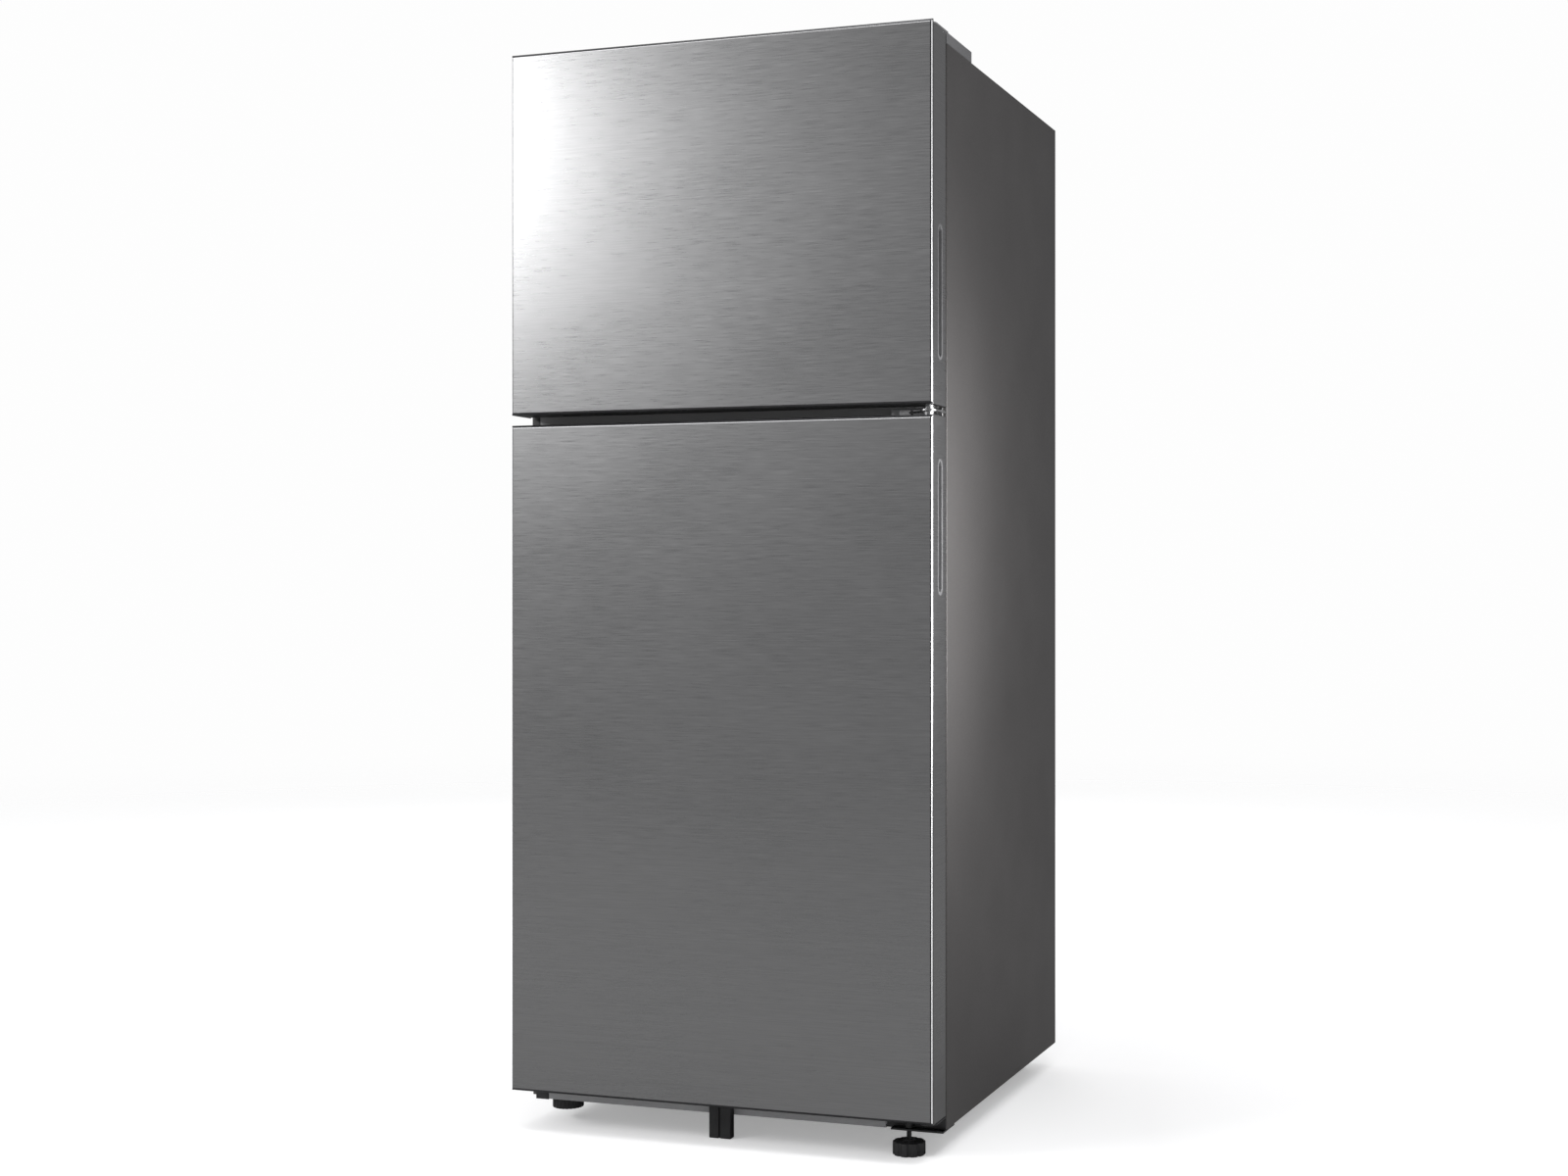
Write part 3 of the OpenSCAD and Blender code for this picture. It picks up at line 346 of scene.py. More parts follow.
def bevelEdges(bm, edges, width, segments, clamp=True, affect="EDGES"):
    bmesh.ops.bevel(bm, geom=edges, offset=width, offset_type="OFFSET", affect=affect, segments=segments,
                    profile=0.5, material=-1, clamp_overlap=clamp)


def cornersOf(bm, above=cornerAngle):
    return [e for e in bm.edges if len(e.link_faces) == 2 and e.calc_face_angle(0) > above]


def vertsOf(geom):
    return [v for v in geom if isinstance(v, bmesh.types.BMVert)]


def inset(bm, faces, thickness, depth=0):
    bmesh.ops.inset_region(bm, faces=faces, thickness=thickness, depth=depth, use_even_offset=True)


def splitAt(bm, point, normal):
    bmesh.ops.bisect_plane(bm, geom=bm.verts[:] + bm.edges[:] + bm.faces[:], plane_co=point, plane_no=normal)


def mergedCopy(name):
    bm = bmesh.new()
    bm.from_mesh(cadNodes[name].data)
    bmesh.ops.remove_doubles(bm, verts=bm.verts, dist=0.00002)
    bmesh.ops.dissolve_limit(bm, angle_limit=0.01, verts=bm.verts, edges=bm.edges)
    return bm


def soften(bm, width, segments=2, above=roundedAngle, where=lambda e: True):
    bevelEdges(bm, [e for e in cornersOf(bm, above) if where(e)], width, segments, False)


def joinBoxes(bm, low, high):
    size = [high[i] - low[i] for i in range(3)]
    middle = [(high[i] + low[i]) / 2 for i in range(3)]
    place = Matrix.Translation(middle) @ Matrix.Diagonal((*size, 1))
    return bmesh.ops.create_cube(bm, size=1, matrix=place)["verts"]


def roundBox(bm, low, high, radius, segments=3, along=None):
    verts = joinBoxes(bm, low, high)
    edges = {e for v in verts for e in v.link_edges}
    if along is not None:
        edges = {e for e in edges if abs((e.verts[0].co - e.verts[1].co).normalized()[along]) > 0.9}
    bevelEdges(bm, list(edges), radius, segments)


# A round form turned about a line from a list of (distance along the line, radius)
def turned(bm, profile, at, axis, steps=48):
    axis = Vector(axis).normalized()
    turn = Vector((0, 0, 1)).rotation_difference(axis).to_matrix()
    side = turn @ Vector((1, 0, 0))
    at = Vector(at)
    verts = [bm.verts.new(at + axis * along + side * radius) for along, radius in profile]
    edges = [bm.edges.new(pair) for pair in zip(verts, verts[1:])]
    made = bmesh.ops.spin(bm, geom=verts + edges, cent=at, axis=axis, angle=2 * math.pi, steps=steps,
                          use_merge=True, dvec=(0, 0, 0))
    near = {v for e in made["geom_last"] if isinstance(e, bmesh.types.BMEdge) for v in e.verts} | set(verts)
    ring = set(near)
    todo = list(near)
    while todo:
        for e in todo.pop().link_edges:
            for v in e.verts:
                if v not in ring:
                    ring.add(v)
                    todo.append(v)
    bmesh.ops.remove_doubles(bm, verts=list(ring), dist=1e-6)
    faces = list({f for v in ring if v.is_valid for f in v.link_faces})
    bmesh.ops.recalc_face_normals(bm, faces=faces)
    return faces


# An open-topped moulded box with rounded corners and an even wall
def trayShell(bm, low, high, wall, corner, foot, rim=0.7 * mm):
    part = bmesh.new()
    joinBoxes(part, low, high)
    part.normal_update()
    bmesh.ops.delete(part, geom=[f for f in part.faces if f.normal.z > 0.9], context="FACES_ONLY")
    upright = [e for e in part.edges if abs((e.verts[0].co - e.verts[1].co).normalized().z) > 0.9]
    bevelEdges(part, upright, corner, 5)
    part.normal_update()
    bevelEdges(part, cornersOf(part), foot, 4)
    bmesh.ops.recalc_face_normals(part, faces=part.faces)
    bmesh.ops.solidify(part, geom=part.faces, thickness=wall)
    part.normal_update()
    ends = [e for e in cornersOf(part) if all(v.co.z - high[2] > -1e-5 for v in e.verts)]
    bevelEdges(part, ends, rim, 2)
    mergeInto(bm, part)


def mergeInto(bm, part):
    mesh = bpy.data.meshes.new("part")
    part.to_mesh(mesh)
    part.free()
    bm.from_mesh(mesh)
    bpy.data.meshes.remove(mesh)


# A ring swept round a rectangle in X and Z from a list of (distance in from its outer edge, height)
def sweptFrame(bm, low, high, level, profile):
    part = bmesh.new()
    corners = [(low[0], low[1]), (high[0], low[1]), (high[0], high[1]), (low[0], high[1])]
    face = part.faces.new([part.verts.new((x, level, z)) for x, z in corners])
    face.normal_update()
    if face.normal.y < 0:
        face.normal_flip()
    for (along, height), (nextAlong, nextHeight) in zip(profile, profile[1:]):
        bmesh.ops.inset_region(part, faces=[face], thickness=nextAlong - along, depth=nextHeight - height,
                               use_even_offset=True, use_boundary=True)
    bmesh.ops.delete(part, geom=[face], context="FACES_ONLY")
    bmesh.ops.bridge_loops(part, edges=[e for e in part.edges if e.is_boundary])
    bmesh.ops.recalc_face_normals(part, faces=part.faces)
    mergeInto(bm, part)


def closeHoles(bm):
    bmesh.ops.holes_fill(bm, edges=[e for e in bm.edges if e.is_boundary], sides=0)


def threaded(bm, at, length, core, crest, pitch):
    start = Vector(at)
    turns = length / pitch
    steps = int(turns * 16)
    points = [(core * 0.96, -pitch * 0.42), (crest, -pitch * 0.06), (crest, pitch * 0.06),
              (core * 0.96, pitch * 0.42)]
    verts = [bm.verts.new(start + Vector((radius, 0, rise + pitch * 0.45))) for radius, rise in points]
    edges = [bm.edges.new(pair) for pair in zip(verts, verts[1:] + verts[:1])]
    bmesh.ops.spin(bm, geom=verts + edges, cent=start, axis=(0, 0, 1), dvec=(0, 0, (length - pitch) / steps),
                   angle=2 * math.pi * turns, steps=steps, use_merge=False)
    closeHoles(bm)


def addPiece(name, bm, replaced, look=None, crease=40, even=True):
    mesh = bpy.data.meshes.new(name)
    bm.to_mesh(mesh)
    bm.free()
    mesh.shade_smooth()
    mesh.set_sharp_from_angle(angle=math.radians(crease))
    for each in look if isinstance(look, tuple) else (look or lookOfSlot[slotOfNode[replaced[0]]],):
        mesh.materials.append(looks[each])
    piece = bpy.data.objects.new(name, mesh)
    scene.collection.objects.link(piece)
    if even:
        weighted = piece.modifiers.new("evenShading", "WEIGHTED_NORMAL")
        weighted.keep_sharp = True
    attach(piece, bodyOfNode[replaced[0]])
    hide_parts(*replaced)


# ---- doors

# The third entry is the height of the strip along the top of each door front that is painted as a highlight
doorDetail = {"edgeRounding": 1.1 * mm, "cutWidth": 3 * mm, "topGlint": 1.8 * mm, "capRecess": 0.7 * mm,
              "linerRounding": 4 * mm}


def doorSkin(node, name):
    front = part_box(node)[0].y
    bm = mergedCopy(node)
    soften(bm, doorDetail["edgeRounding"], 2, 0.5,
           lambda e: all(v.co.y < front + doorDetail["cutWidth"] + 0.2 * mm for v in e.verts)
           and e.calc_face_angle(0) < cornerAngle)
    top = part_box(node)[1].z - doorDetail["cutWidth"]
    splitAt(bm, (0, 0, top - doorDetail["topGlint"]), (0, 0, 1))
    bm.normal_update()
    # Painted light on the door's edges: the upright chamfers and a thin strip of the front face along the top
    # take the near-white painted highlight, while the other chamfer and rounding faces take edgeShadow,
    # darker steel that is painted shade
    for face in bm.faces:
        middle = face.calc_center_median()
        if middle.y < front + doorDetail["cutWidth"] and -0.98 < face.normal.y < -0.05:
            upright = -0.75 < face.normal.y < -0.66 and abs(face.normal.z) < 0.3
            face.material_index = 1 if upright else 2
        elif face.normal.y < -0.98 and middle.z > top - doorDetail["topGlint"]:
            face.material_index = 1
    addPiece(name, bm, (node,), ("brushedDoor", "edgeGlintAndShade", "edgeShadow"), 30)


def doorCaps(node, name):
    bm = mergedCopy(node)
    broad = [f for f in bm.faces if abs(f.normal.z) > 0.9 and f.calc_area() > 0.02 and len(f.verts) == 4]
    for face in broad:
        inset(bm, [face], 2.5 * mm)
        inset(bm, [face], 0.8 * mm, -doorDetail["capRecess"])
    soften(bm, 0.5 * mm)
    addPiece(name, bm, (node,), None, 35)


def doorLiner(node, name):
    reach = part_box(node)[1].y
    bm = mergedCopy(node)
    soften(bm, doorDetail["linerRounding"], 4,
           where=lambda e: max(v.co.y for v in e.verts) > reach - 0.5 * mm)
    addPiece(name, bm, (node,), None, 35)


def doorGasket(node, name):
    low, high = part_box(node)
    profile = [(0, 0), (0.4, 2.0), (1.6, 3.0), (2.5, 2.5), (3.4, 5.2), (4.4, 6.9), (8, 7.4), (11.6, 6.9),
               (12.6, 5.2), (13.5, 2.5), (14.4, 3.0), (15.6, 2.0), (16, 0)]
    bm = bmesh.new()
    sweptFrame(bm, (low.x, low.z), (high.x, high.z), low.y, [(a * mm, h * mm) for a, h in profile])
    addPiece(name, bm, (node,), None, 50, False)


binDetail = {"wall": 2.5 * mm, "corner": 14 * mm, "foot": 7 * mm, "rail": 3.5 * mm, "railDepth": 1.4 * mm,
             "railEnd": 18 * mm}


def doorBins(nodes, name, shelves):
    low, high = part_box(nodes[0])[0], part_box(nodes[-1])[1]
    wall = binDetail["wall"]
    bm = bmesh.new()
    for floor, height in shelves:
        floor, top = floor * mm, (floor + height) * mm
        trayShell(bm, (low.x, low.y, floor), (high.x, high.y, top), wall, binDetail["corner"],
                  binDetail["foot"])
        for level in (top - 30 * mm, floor + 34 * mm):
            roundBox(bm, (low.x + binDetail["railEnd"], high.y - wall - binDetail["railDepth"], level),
                     (high.x - binDetail["railEnd"], high.y, level + binDetail["rail"]), 1.0 * mm, 2)
    addPiece(name, bm, nodes, None, 35)


binShelves = {"freezer_door": (("freezer_door_bin_low", "freezer_door_bin_high"), ((1190, 105), (1420, 105))),
              "fridge_door": (("fridge_door_bins",), ((128, 150), (470, 110), (770, 100)))}
for door, tidyName in (("freezer_door", "freezerDoor"), ("fridge_door", "fridgeDoor")):
    doorSkin(door + "_skin", tidyName + "Skin")
    doorCaps(door + "_caps", tidyName + "Caps")
    doorLiner(door + "_liner", tidyName + "Liner")
    doorGasket(door + "_gasket", tidyName + "Gasket")
    doorBins(binShelves[door][0], tidyName + "Bins", binShelves[door][1])
    bm = mergedCopy(door + "_grips")
    soften(bm, 0.9 * mm, 3)
    addPiece(tidyName + "Grips", bm, (door + "_grips",), "gripGrey", 35)
print("doors done")

# ---- cabinet outside

foldDetail = {"radius": 2.2 * mm, "sheet": 1 * mm, "frontReturn": 20 * mm, "rearReturn": 6 * mm}


def foldedSheet(points, corner, low, high):
    part = bmesh.new()
    verts = [part.verts.new((x, y, low)) for x, y in points]
    for pair in zip(verts, verts[1:]):
        part.edges.new(pair)
    bevelEdges(part, verts[1:-1], corner, 4, affect="VERTICES")
    made = bmesh.ops.extrude_edge_only(part, edges=list(part.edges))["geom"]
    bmesh.ops.translate(part, verts=vertsOf(made), vec=(0, 0, high - low))
    return part


def sidePanels():
    low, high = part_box("side_panels")
    bm = bmesh.new()
    for side in (-1, 1):
        edge = side * high.x
        points = [(edge - side * foldDetail["frontReturn"], low.y), (edge, low.y), (edge, high.y),
                  (edge - side * foldDetail["rearReturn"], high.y)]
        part = foldedSheet(points, foldDetail["radius"], low.z, high.z)
        part.normal_update()
        outer = max(part.faces, key=lambda f: f.calc_area())
        bmesh.ops.recalc_face_normals(part, faces=part.faces)
        if outer.normal.x * side < 0:
            bmesh.ops.reverse_faces(part, faces=part.faces)
        bmesh.ops.solidify(part, geom=part.faces, thickness=foldDetail["sheet"])
        mergeInto(bm, part)
    addPiece("sidePanels", bm, ("side_panels",), None, 30)


def topPanel():
    bm = mergedCopy("top_panel")
    deck = max((f for f in bm.faces if f.normal.z > 0.9), key=lambda f: f.calc_area())
    inset(bm, [deck], 26 * mm)
    inset(bm, [deck], 3 * mm, 0.8 * mm)
    soften(bm, 0.4 * mm)
    addPiece("topPanel", bm, ("top_panel",), None, 30)


def backPanel():
    low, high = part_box("back_panel")
    bm = bmesh.new()
    joinBoxes(bm, (low.x, low.y, low.z), (high.x, high.y, high.z))
    for level in (0.72, 1.16):
        splitAt(bm, (0, 0, level), (0, 0, 1))
    for across in (-0.115, 0.115):
        splitAt(bm, (across, 0, 0), (1, 0, 0))
    bm.normal_update()
    fields = [f for f in bm.faces if f.normal.y > 0.9]
    for face in fields:
        for thickness, depth in ((22, 0), (4, -3), (10, 0), (4, 3)):
            inset(bm, [face], thickness * mm, depth * mm)
    soften(bm, 1.2 * mm, 2, 0.4, lambda e: all(abs(v.co.x) < high.x - 1 * mm for v in e.verts))
    for x in (-0.338, 0.338):
        for level in (0.30, 0.76, 1.21, 1.66):
            turned(bm, [(0, 0), (0, 4.2 * mm), (-0.6 * mm, 4.4 * mm), (-1.8 * mm, 3.6 * mm), (-1.8 * mm, 0)],
                   (x, high.y, level), (0, 1, 0), 20)
    addPiece("backPanel", bm, ("back_panel",), None, 30)


def foam():
    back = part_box("insulation")[1].y
    bm = mergedCopy("insulation")
    rear = [v for v in bm.verts if v.co.y > back - 0.3 * mm]
    bmesh.ops.translate(bm, verts=rear, vec=(0, -4 * mm, 0))
    addPiece("wallFoam", bm, ("insulation",), None, 30, False)


def hingeCover():
    low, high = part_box("hinge_cover")
    bm = mergedCopy("hinge_cover")
    soften(bm, 1.6 * mm, 4, where=lambda e: all(v.co.z > high.z - 0.1 * mm for v in e.verts) or (
        abs(e.verts[0].co.z - e.verts[1].co.z) > 8 * mm
        and abs(e.verts[0].co.x - e.verts[1].co.x) < 0.1 * mm))
    turned(bm, [(0.2 * mm, 0), (0.2 * mm, 4.4 * mm), (-0.3 * mm, 5 * mm), (-1 * mm, 5 * mm), (-1 * mm, 0)],
           ((low.x + high.x) / 2 - 8 * mm, high.y - 24 * mm, high.z - 2.5 * mm), (0, 0, 1), 28)
    addPiece("hingeCover", bm, ("hinge_cover",), None, 35)


sidePanels()
topPanel()
backPanel()
foam()
hingeCover()
print("cabinet outside done")

# ---- feet, leg and rollers

footDetail = {"core": 3.1 * mm, "crest": 3.9 * mm, "pitch": 1.5 * mm, "pad": 20 * mm}


def levellingFoot(node, name, collar):
    bm = mergedCopy(node)
    low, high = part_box(node)
    middle = ((low.x + high.x) / 2, (low.y + high.y) / 2)
    pad = low.z + footDetail["pad"]
    soften(bm, 1.4 * mm if collar else 0.8 * mm, 3, where=
           lambda e: all(abs(v.co.z - low.z) < 1e-5 or abs(v.co.z - pad) < 1e-5 for v in e.verts)
           and all(math.hypot(v.co.x - middle[0], v.co.y - middle[1]) > 15 * mm for v in e.verts))
    start = pad + (3 * mm if collar else 0)
    threaded(bm, (middle[0], middle[1], start), high.z - start - 1 * mm, footDetail["core"],
             footDetail["crest"], footDetail["pitch"])
    nut = [(0, 0), (0, 11), (0.8, 11.5), (1.6, 10.5), (1.8, 9), (1.8, 0)]
    turned(bm, [(a * mm, r * mm) for a, r in nut], (middle[0], middle[1], pad - 0.1 * mm), (0, 0, 1), 40)
    addPiece(name, bm, (node,), None, 40, False)


def rollerPiece(node, name):
    low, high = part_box(node)
    middle = (low.x, (low.y + high.y) / 2, (low.z + high.z) / 2)
    radius = (high.z - low.z) / 2
    wide = high.x - low.x
    bm = bmesh.new()
    bore = 4.05 * mm
    profile = [(0, bore), (0, 8 * mm), (2 * mm, 9 * mm), (2.2 * mm, radius - 6 * mm), (0, radius - 5 * mm),
               (0, radius - 1.6 * mm), (1.6 * mm, radius), (wide * 0.3, radius),
               (wide * 0.32, radius - 1 * mm), (wide * 0.38, radius - 1 * mm), (wide * 0.4, radius),
               (wide * 0.6, radius), (wide * 0.62, radius - 1 * mm), (wide * 0.68, radius - 1 * mm),
               (wide * 0.7, radius), (wide - 1.6 * mm, radius), (wide, radius - 1.6 * mm),
               (wide, radius - 5 * mm), (wide - 2.2 * mm, radius - 6 * mm), (wide - 2 * mm, 9 * mm),
               (wide, 8 * mm), (wide, bore), (0, bore)]
    turned(bm, profile, middle, (1, 0, 0), 56)
    addPiece(name, bm, (node,), None, 35)


levellingFoot("right_foot", "rightFoot", True)
levellingFoot("left_foot", "leftFoot", False)
rollerPiece("roller_left", "rollerLeft")
rollerPiece("roller_right", "rollerRight")
print("feet and rollers done")

# ---- inside of the cabinet

linerDetail = {"inside": 295 * mm, "corner": 14 * mm, "mouth": 3 * mm, "wall": 1.5 * mm,
               "ribDepth": 5 * mm, "ribHeight": 8, "ribStart": -155 * mm}


# A compartment's liner from its section in Y and Z, open at the front, with its flange
def compartmentLiner(node, name, section, ribs):
    low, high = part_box(node)
    inside = linerDetail["inside"]
    part = bmesh.new()
    face = part.faces.new([part.verts.new((-inside, y * mm, z * mm)) for y, z in section])
    made = bmesh.ops.extrude_face_region(part, geom=[face])["geom"]
    bmesh.ops.translate(part, verts=vertsOf(made), vec=(2 * inside, 0, 0))
    mouth = [f for f in part.faces if all(abs(v.co.y - low.y) < 0.1 * mm for v in f.verts)]
    bmesh.ops.delete(part, geom=mouth, context="FACES_ONLY")
    bmesh.ops.recalc_face_normals(part, faces=part.faces)
    bevelEdges(part, cornersOf(part, 0.5), linerDetail["corner"], 4)
    rim = bmesh.ops.extrude_edge_only(part, edges=[e for e in part.edges if e.is_boundary])["geom"]
    middle = Vector((0, low.y, (section[0][1] + section[-1][1]) / 2 * mm))
    grow = (high.x / inside, 1, (high.z - low.z) / ((section[-1][1] - section[0][1]) * mm))
    bmesh.ops.scale(part, vec=grow, verts=vertsOf(rim), space=Matrix.Translation(-middle))
    bmesh.ops.translate(part, verts=vertsOf(rim), vec=(0, 0, (low.z + high.z) / 2 - middle.z))
    bmesh.ops.recalc_face_normals(part, faces=part.faces)
    part.normal_update()
    back = max(part.faces, key=lambda f: f.calc_center_median().y * (1 if f.calc_area() > 0.01 else 0))
    if back.normal.y > 0:
        bmesh.ops.reverse_faces(part, faces=part.faces)
    lips = [e for e in cornersOf(part) if all(abs(v.co.y - low.y) < 0.1 * mm for v in e.verts)]
    bevelEdges(part, lips, linerDetail["mouth"], 3)
    bmesh.ops.solidify(part, geom=part.faces, thickness=linerDetail["wall"])
    for level, reach in ribs:
        for side in (-1, 1):
            x = sorted((side * (inside - linerDetail["ribDepth"]), side * (inside + 0.4 * mm)))
            roundBox(part, (x[0], linerDetail["ribStart"], (level - linerDetail["ribHeight"]) * mm),
                     (x[1], reach * mm, level * mm), 1.8 * mm, 3)
    addPiece(name, part, (node,), None, 35)


freezerSection = ((-293, 1157), (300, 1157), (300, 1619), (-293, 1619))
fridgeSection = ((-293, 95), (120, 95), (120, 325), (300, 325), (300, 1087), (-293, 1087))
compartmentLiner("freezer_liner", "freezerLiner", freezerSection, ())
compartmentLiner("fridge_liner", "fridgeLiner", fridgeSection, ((330, 112), (600, 290), (880, 290)))


# Drawers with a thick moulded front, a finger lip and rounded corners
drawerDetail = {"side": 283, "front": -150, "wall": 2.5 * mm, "corner": 9 * mm, "foot": 5 * mm}


def drawer(node, name, floor, top, back, recess=None):
    side, front = drawerDetail["side"] * mm, drawerDetail["front"] * mm
    bm = bmesh.new()
    trayShell(bm, (-side, front + 0.2 * mm, floor * mm), (side, back * mm, top * mm), drawerDetail["wall"],
              drawerDetail["corner"], drawerDetail["foot"])
    part = bmesh.new()
    joinBoxes(part, (-side, front - 8 * mm, (floor + 2) * mm), (side, front, top * mm))
    part.normal_update()
    if recess:
        for spot in (recess[0], -recess[0]):
            splitAt(part, (spot * mm, 0, 0), (1, 0, 0))
        for spot in recess[1:]:
            splitAt(part, (0, 0, spot * mm), (0, 0, 1))
        part.normal_update()
        slot = [f for f in part.faces if f.normal.y < -0.9 and abs(f.calc_center_median().x) < recess[0] * mm
                and recess[1] * mm < f.calc_center_median().z < recess[2] * mm]
        inset(part, slot, 0.01 * mm, -4.4 * mm)
    else:
        field = max((f for f in part.faces if f.normal.y < -0.9), key=lambda f: f.calc_area())
        inset(part, [field], 16 * mm)
        inset(part, [field], 1.5 * mm, -1.2 * mm)
    outside = (recess[0] + 2) * mm if recess else side - 1 * mm
    soften(part, 1.4 * mm, 3, cornerAngle, lambda e: all(abs(v.co.x) > outside for v in e.verts)
           or all(v.co.y > front - 1 * mm for v in e.verts)
           or all(v.co.z > top * mm - 1 * mm or v.co.z < (floor + 3) * mm for v in e.verts))
    mergeInto(bm, part)
    roundBox(bm, (-side, front - 14 * mm, (top - 6) * mm), (side, front - 7 * mm, top * mm), 2.2 * mm, 4)
    addPiece(name, bm, (node,), None, 35)


drawer("chiller_drawer", "chillerDrawer", 887, 992, 250)
drawer("crisper_drawer", "crisperDrawer", 96, 312, 116, (50, 262, 278))
print("liners and drawers done")

# ---- machine space

def compressorPiece():
    low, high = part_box("compressor")
    base = low.z
    middle = ((low.x + high.x) / 2, 258 * mm)
    bm = bmesh.new()
    profile = [(3, 0), (3, 58), (7, 63), (14, 66.5), (24, 68), (56, 68), (58, 70.5), (64, 70.5), (66, 68),
               (92, 67), (104, 64), (116, 58.5), (126, 51), (134, 40), (139, 26), (141.6, 12), (142, 0)]
    turned(bm, [(a * mm, r * mm) for a, r in profile], (middle[0], middle[1], base), (0, 0, 1), 72)
    roundBox(bm, (middle[0] - 92 * mm, middle[1] - 54 * mm, base), (middle[0] + 92 * mm, middle[1] + 54 * mm,
             base + 3 * mm), 12 * mm, 5, 2)
    roundBox(bm, (middle[0] - 22 * mm, middle[1] - 91 * mm, base + 28 * mm), (middle[0] + 22 * mm,
             middle[1] - 60 * mm, base + 72 * mm), 4 * mm, 4)
    roundBox(bm, (middle[0] - 15 * mm, middle[1] - 91 * mm, base + 34 * mm), (middle[0] + 15 * mm,
             middle[1] - 58 * mm, base + 80 * mm), 3 * mm, 3)
    for angle, level, reach in ((200, 44, 16), (250, 36, 14), (320, 44, 14)):
        way = Vector((math.cos(math.radians(angle)), math.sin(math.radians(angle)), 0))
        start = Vector((middle[0], middle[1], base + level * mm)) + way * 62 * mm
        turned(bm, [(0, 0), (0, 5 * mm), (9 * mm, 5 * mm), (9.5 * mm, 4 * mm), (reach * mm, 3.2 * mm),
                    (reach * mm, 0)], start, way, 20)
    addPiece("compressorUnit", bm, ("compressor",), None, 35)


def compressorMounts():
    low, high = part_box("compressor_mounts")
    bm = bmesh.new()
    profile = [(0, 0), (0, 8.6), (0.6, 9), (3, 9), (3.8, 7.4), (5, 7), (6.4, 7.4), (7.2, 9), (11, 9),
               (11.6, 8.4), (12, 0)]
    for x in (low.x + 9 * mm, high.x - 9 * mm):
        for y in (low.y + 9 * mm, high.y - 9 * mm):
            turned(bm, [(a * mm, r * mm) for a, r in profile], (x, y, low.z), (0, 0, 1), 32)
    addPiece("compressorMounts", bm, ("compressor_mounts",), None, 35)


# Fins on tubes that return through bends at both ends
def finnedCoil(node, name, low, high, fins, rows, columns, tube):
    bm = bmesh.new()
    for i in range(fins):
        x = low[0] + i * (high[0] - low[0]) / (fins - 1)
        joinBoxes(bm, ((x - 0.35) * mm, low[1] * mm, low[2] * mm),
                  ((x + 0.35) * mm, high[1] * mm, high[2] * mm))
    rowStep = (high[2] - low[2]) / rows
    columnStep = (high[1] - low[1]) / columns
    for c in range(columns):
        y = low[1] + (c + 0.5) * columnStep
        for r in range(rows):
            z = low[2] + (r + 0.5) * rowStep
            turned(bm, [(0, 0), (0, tube * mm), ((high[0] - low[0] + 4) * mm, tube * mm),
                        ((high[0] - low[0] + 4) * mm, 0)], ((low[0] - 2) * mm, y * mm, z * mm), (1, 0, 0), 14)
            if r < rows - 1:
                end, way = (high[0] + 2, 1) if r % 2 == 0 else (low[0] - 2, -1)
                hairpin(bm, end * mm, y * mm, z * mm, rowStep * mm, tube * mm, way)
    addPiece(name, bm, (node,), None, 35, False)


# Half a turn of tube that joins two straight tubes one above the other
def hairpin(bm, x, y, z, rise, tube, way):
    part = bmesh.new()
    bmesh.ops.create_circle(part, cap_ends=False, radius=tube, segments=12,
                            matrix=Matrix.Translation((x, y, z)) @ Matrix.Rotation(math.pi / 2, 4, "Y"))
    geom = list(part.verts) + list(part.edges)
    bmesh.ops.spin(part, geom=geom, cent=(x, y, z + rise / 2), axis=(0, way, 0), angle=-math.pi, steps=10,
                   use_merge=False, dvec=(0, 0, 0))
    flatten = 4.8 * mm / (rise / 2)
    bmesh.ops.scale(part, vec=(min(1.0, flatten), 1, 1), verts=part.verts,
                    space=Matrix.Translation((-x, 0, 0)))
    closeHoles(part)
    bmesh.ops.recalc_face_normals(part, faces=part.faces)
    mergeInto(bm, part)


fanDetail = {"blades": 5, "twist": 34, "chord": 15}


# A pressed fan: a domed hub and five twisted blades, made along +Z and then turned to its axis
def fanPiece(node, name, radius, depth, axis, at):
    bm = bmesh.new()
    hub = [(0, 3.05), (0, 14.5), (1.2, 16), (depth - 3, 16), (depth - 1, 14.5), (depth, 10), (depth, 3.05),
           (0, 3.05)]
    turned(bm, [(a * mm, r * mm) for a, r in hub], (0, 0, 0), (0, 0, 1), 40)
    for blade in range(fanDetail["blades"]):
        part = bmesh.new()
        bmesh.ops.create_grid(part, x_segments=8, y_segments=6, size=0.5)
        for v in part.verts:
            along, across = v.co.x + 0.5, v.co.y * 2
            reach = (14 + along * (radius - 14.6)) * mm
            wide = fanDetail["chord"] * mm * (0.72 + 0.38 * along - 0.18 * along ** 4)
            pitch = math.radians(fanDetail["twist"] * (1.15 - 0.45 * along))
            sweep = 0.22 * along * along - 0.16
            angle = sweep + across * wide * math.cos(pitch) / reach
            v.co = (reach * math.cos(angle), reach * math.sin(angle),
                    depth * mm / 2 + across * wide * math.sin(pitch) * 0.92 - 1.2 * mm * across * across)
        bmesh.ops.solidify(part, geom=part.faces, thickness=1.4 * mm)
        bmesh.ops.rotate(part, cent=(0, 0, 0), verts=part.verts,
                         matrix=Matrix.Rotation(blade * 2 * math.pi / fanDetail["blades"], 3, "Z"))
        bmesh.ops.recalc_face_normals(part, faces=part.faces)
        mergeInto(bm, part)
    turn = Vector((0, 0, 1)).rotation_difference(Vector(axis)).to_matrix()
    bmesh.ops.transform(bm, matrix=Matrix.Translation(at) @ turn.to_4x4(), verts=bm.verts)
    addPiece(name, bm, (node,), None, 40)


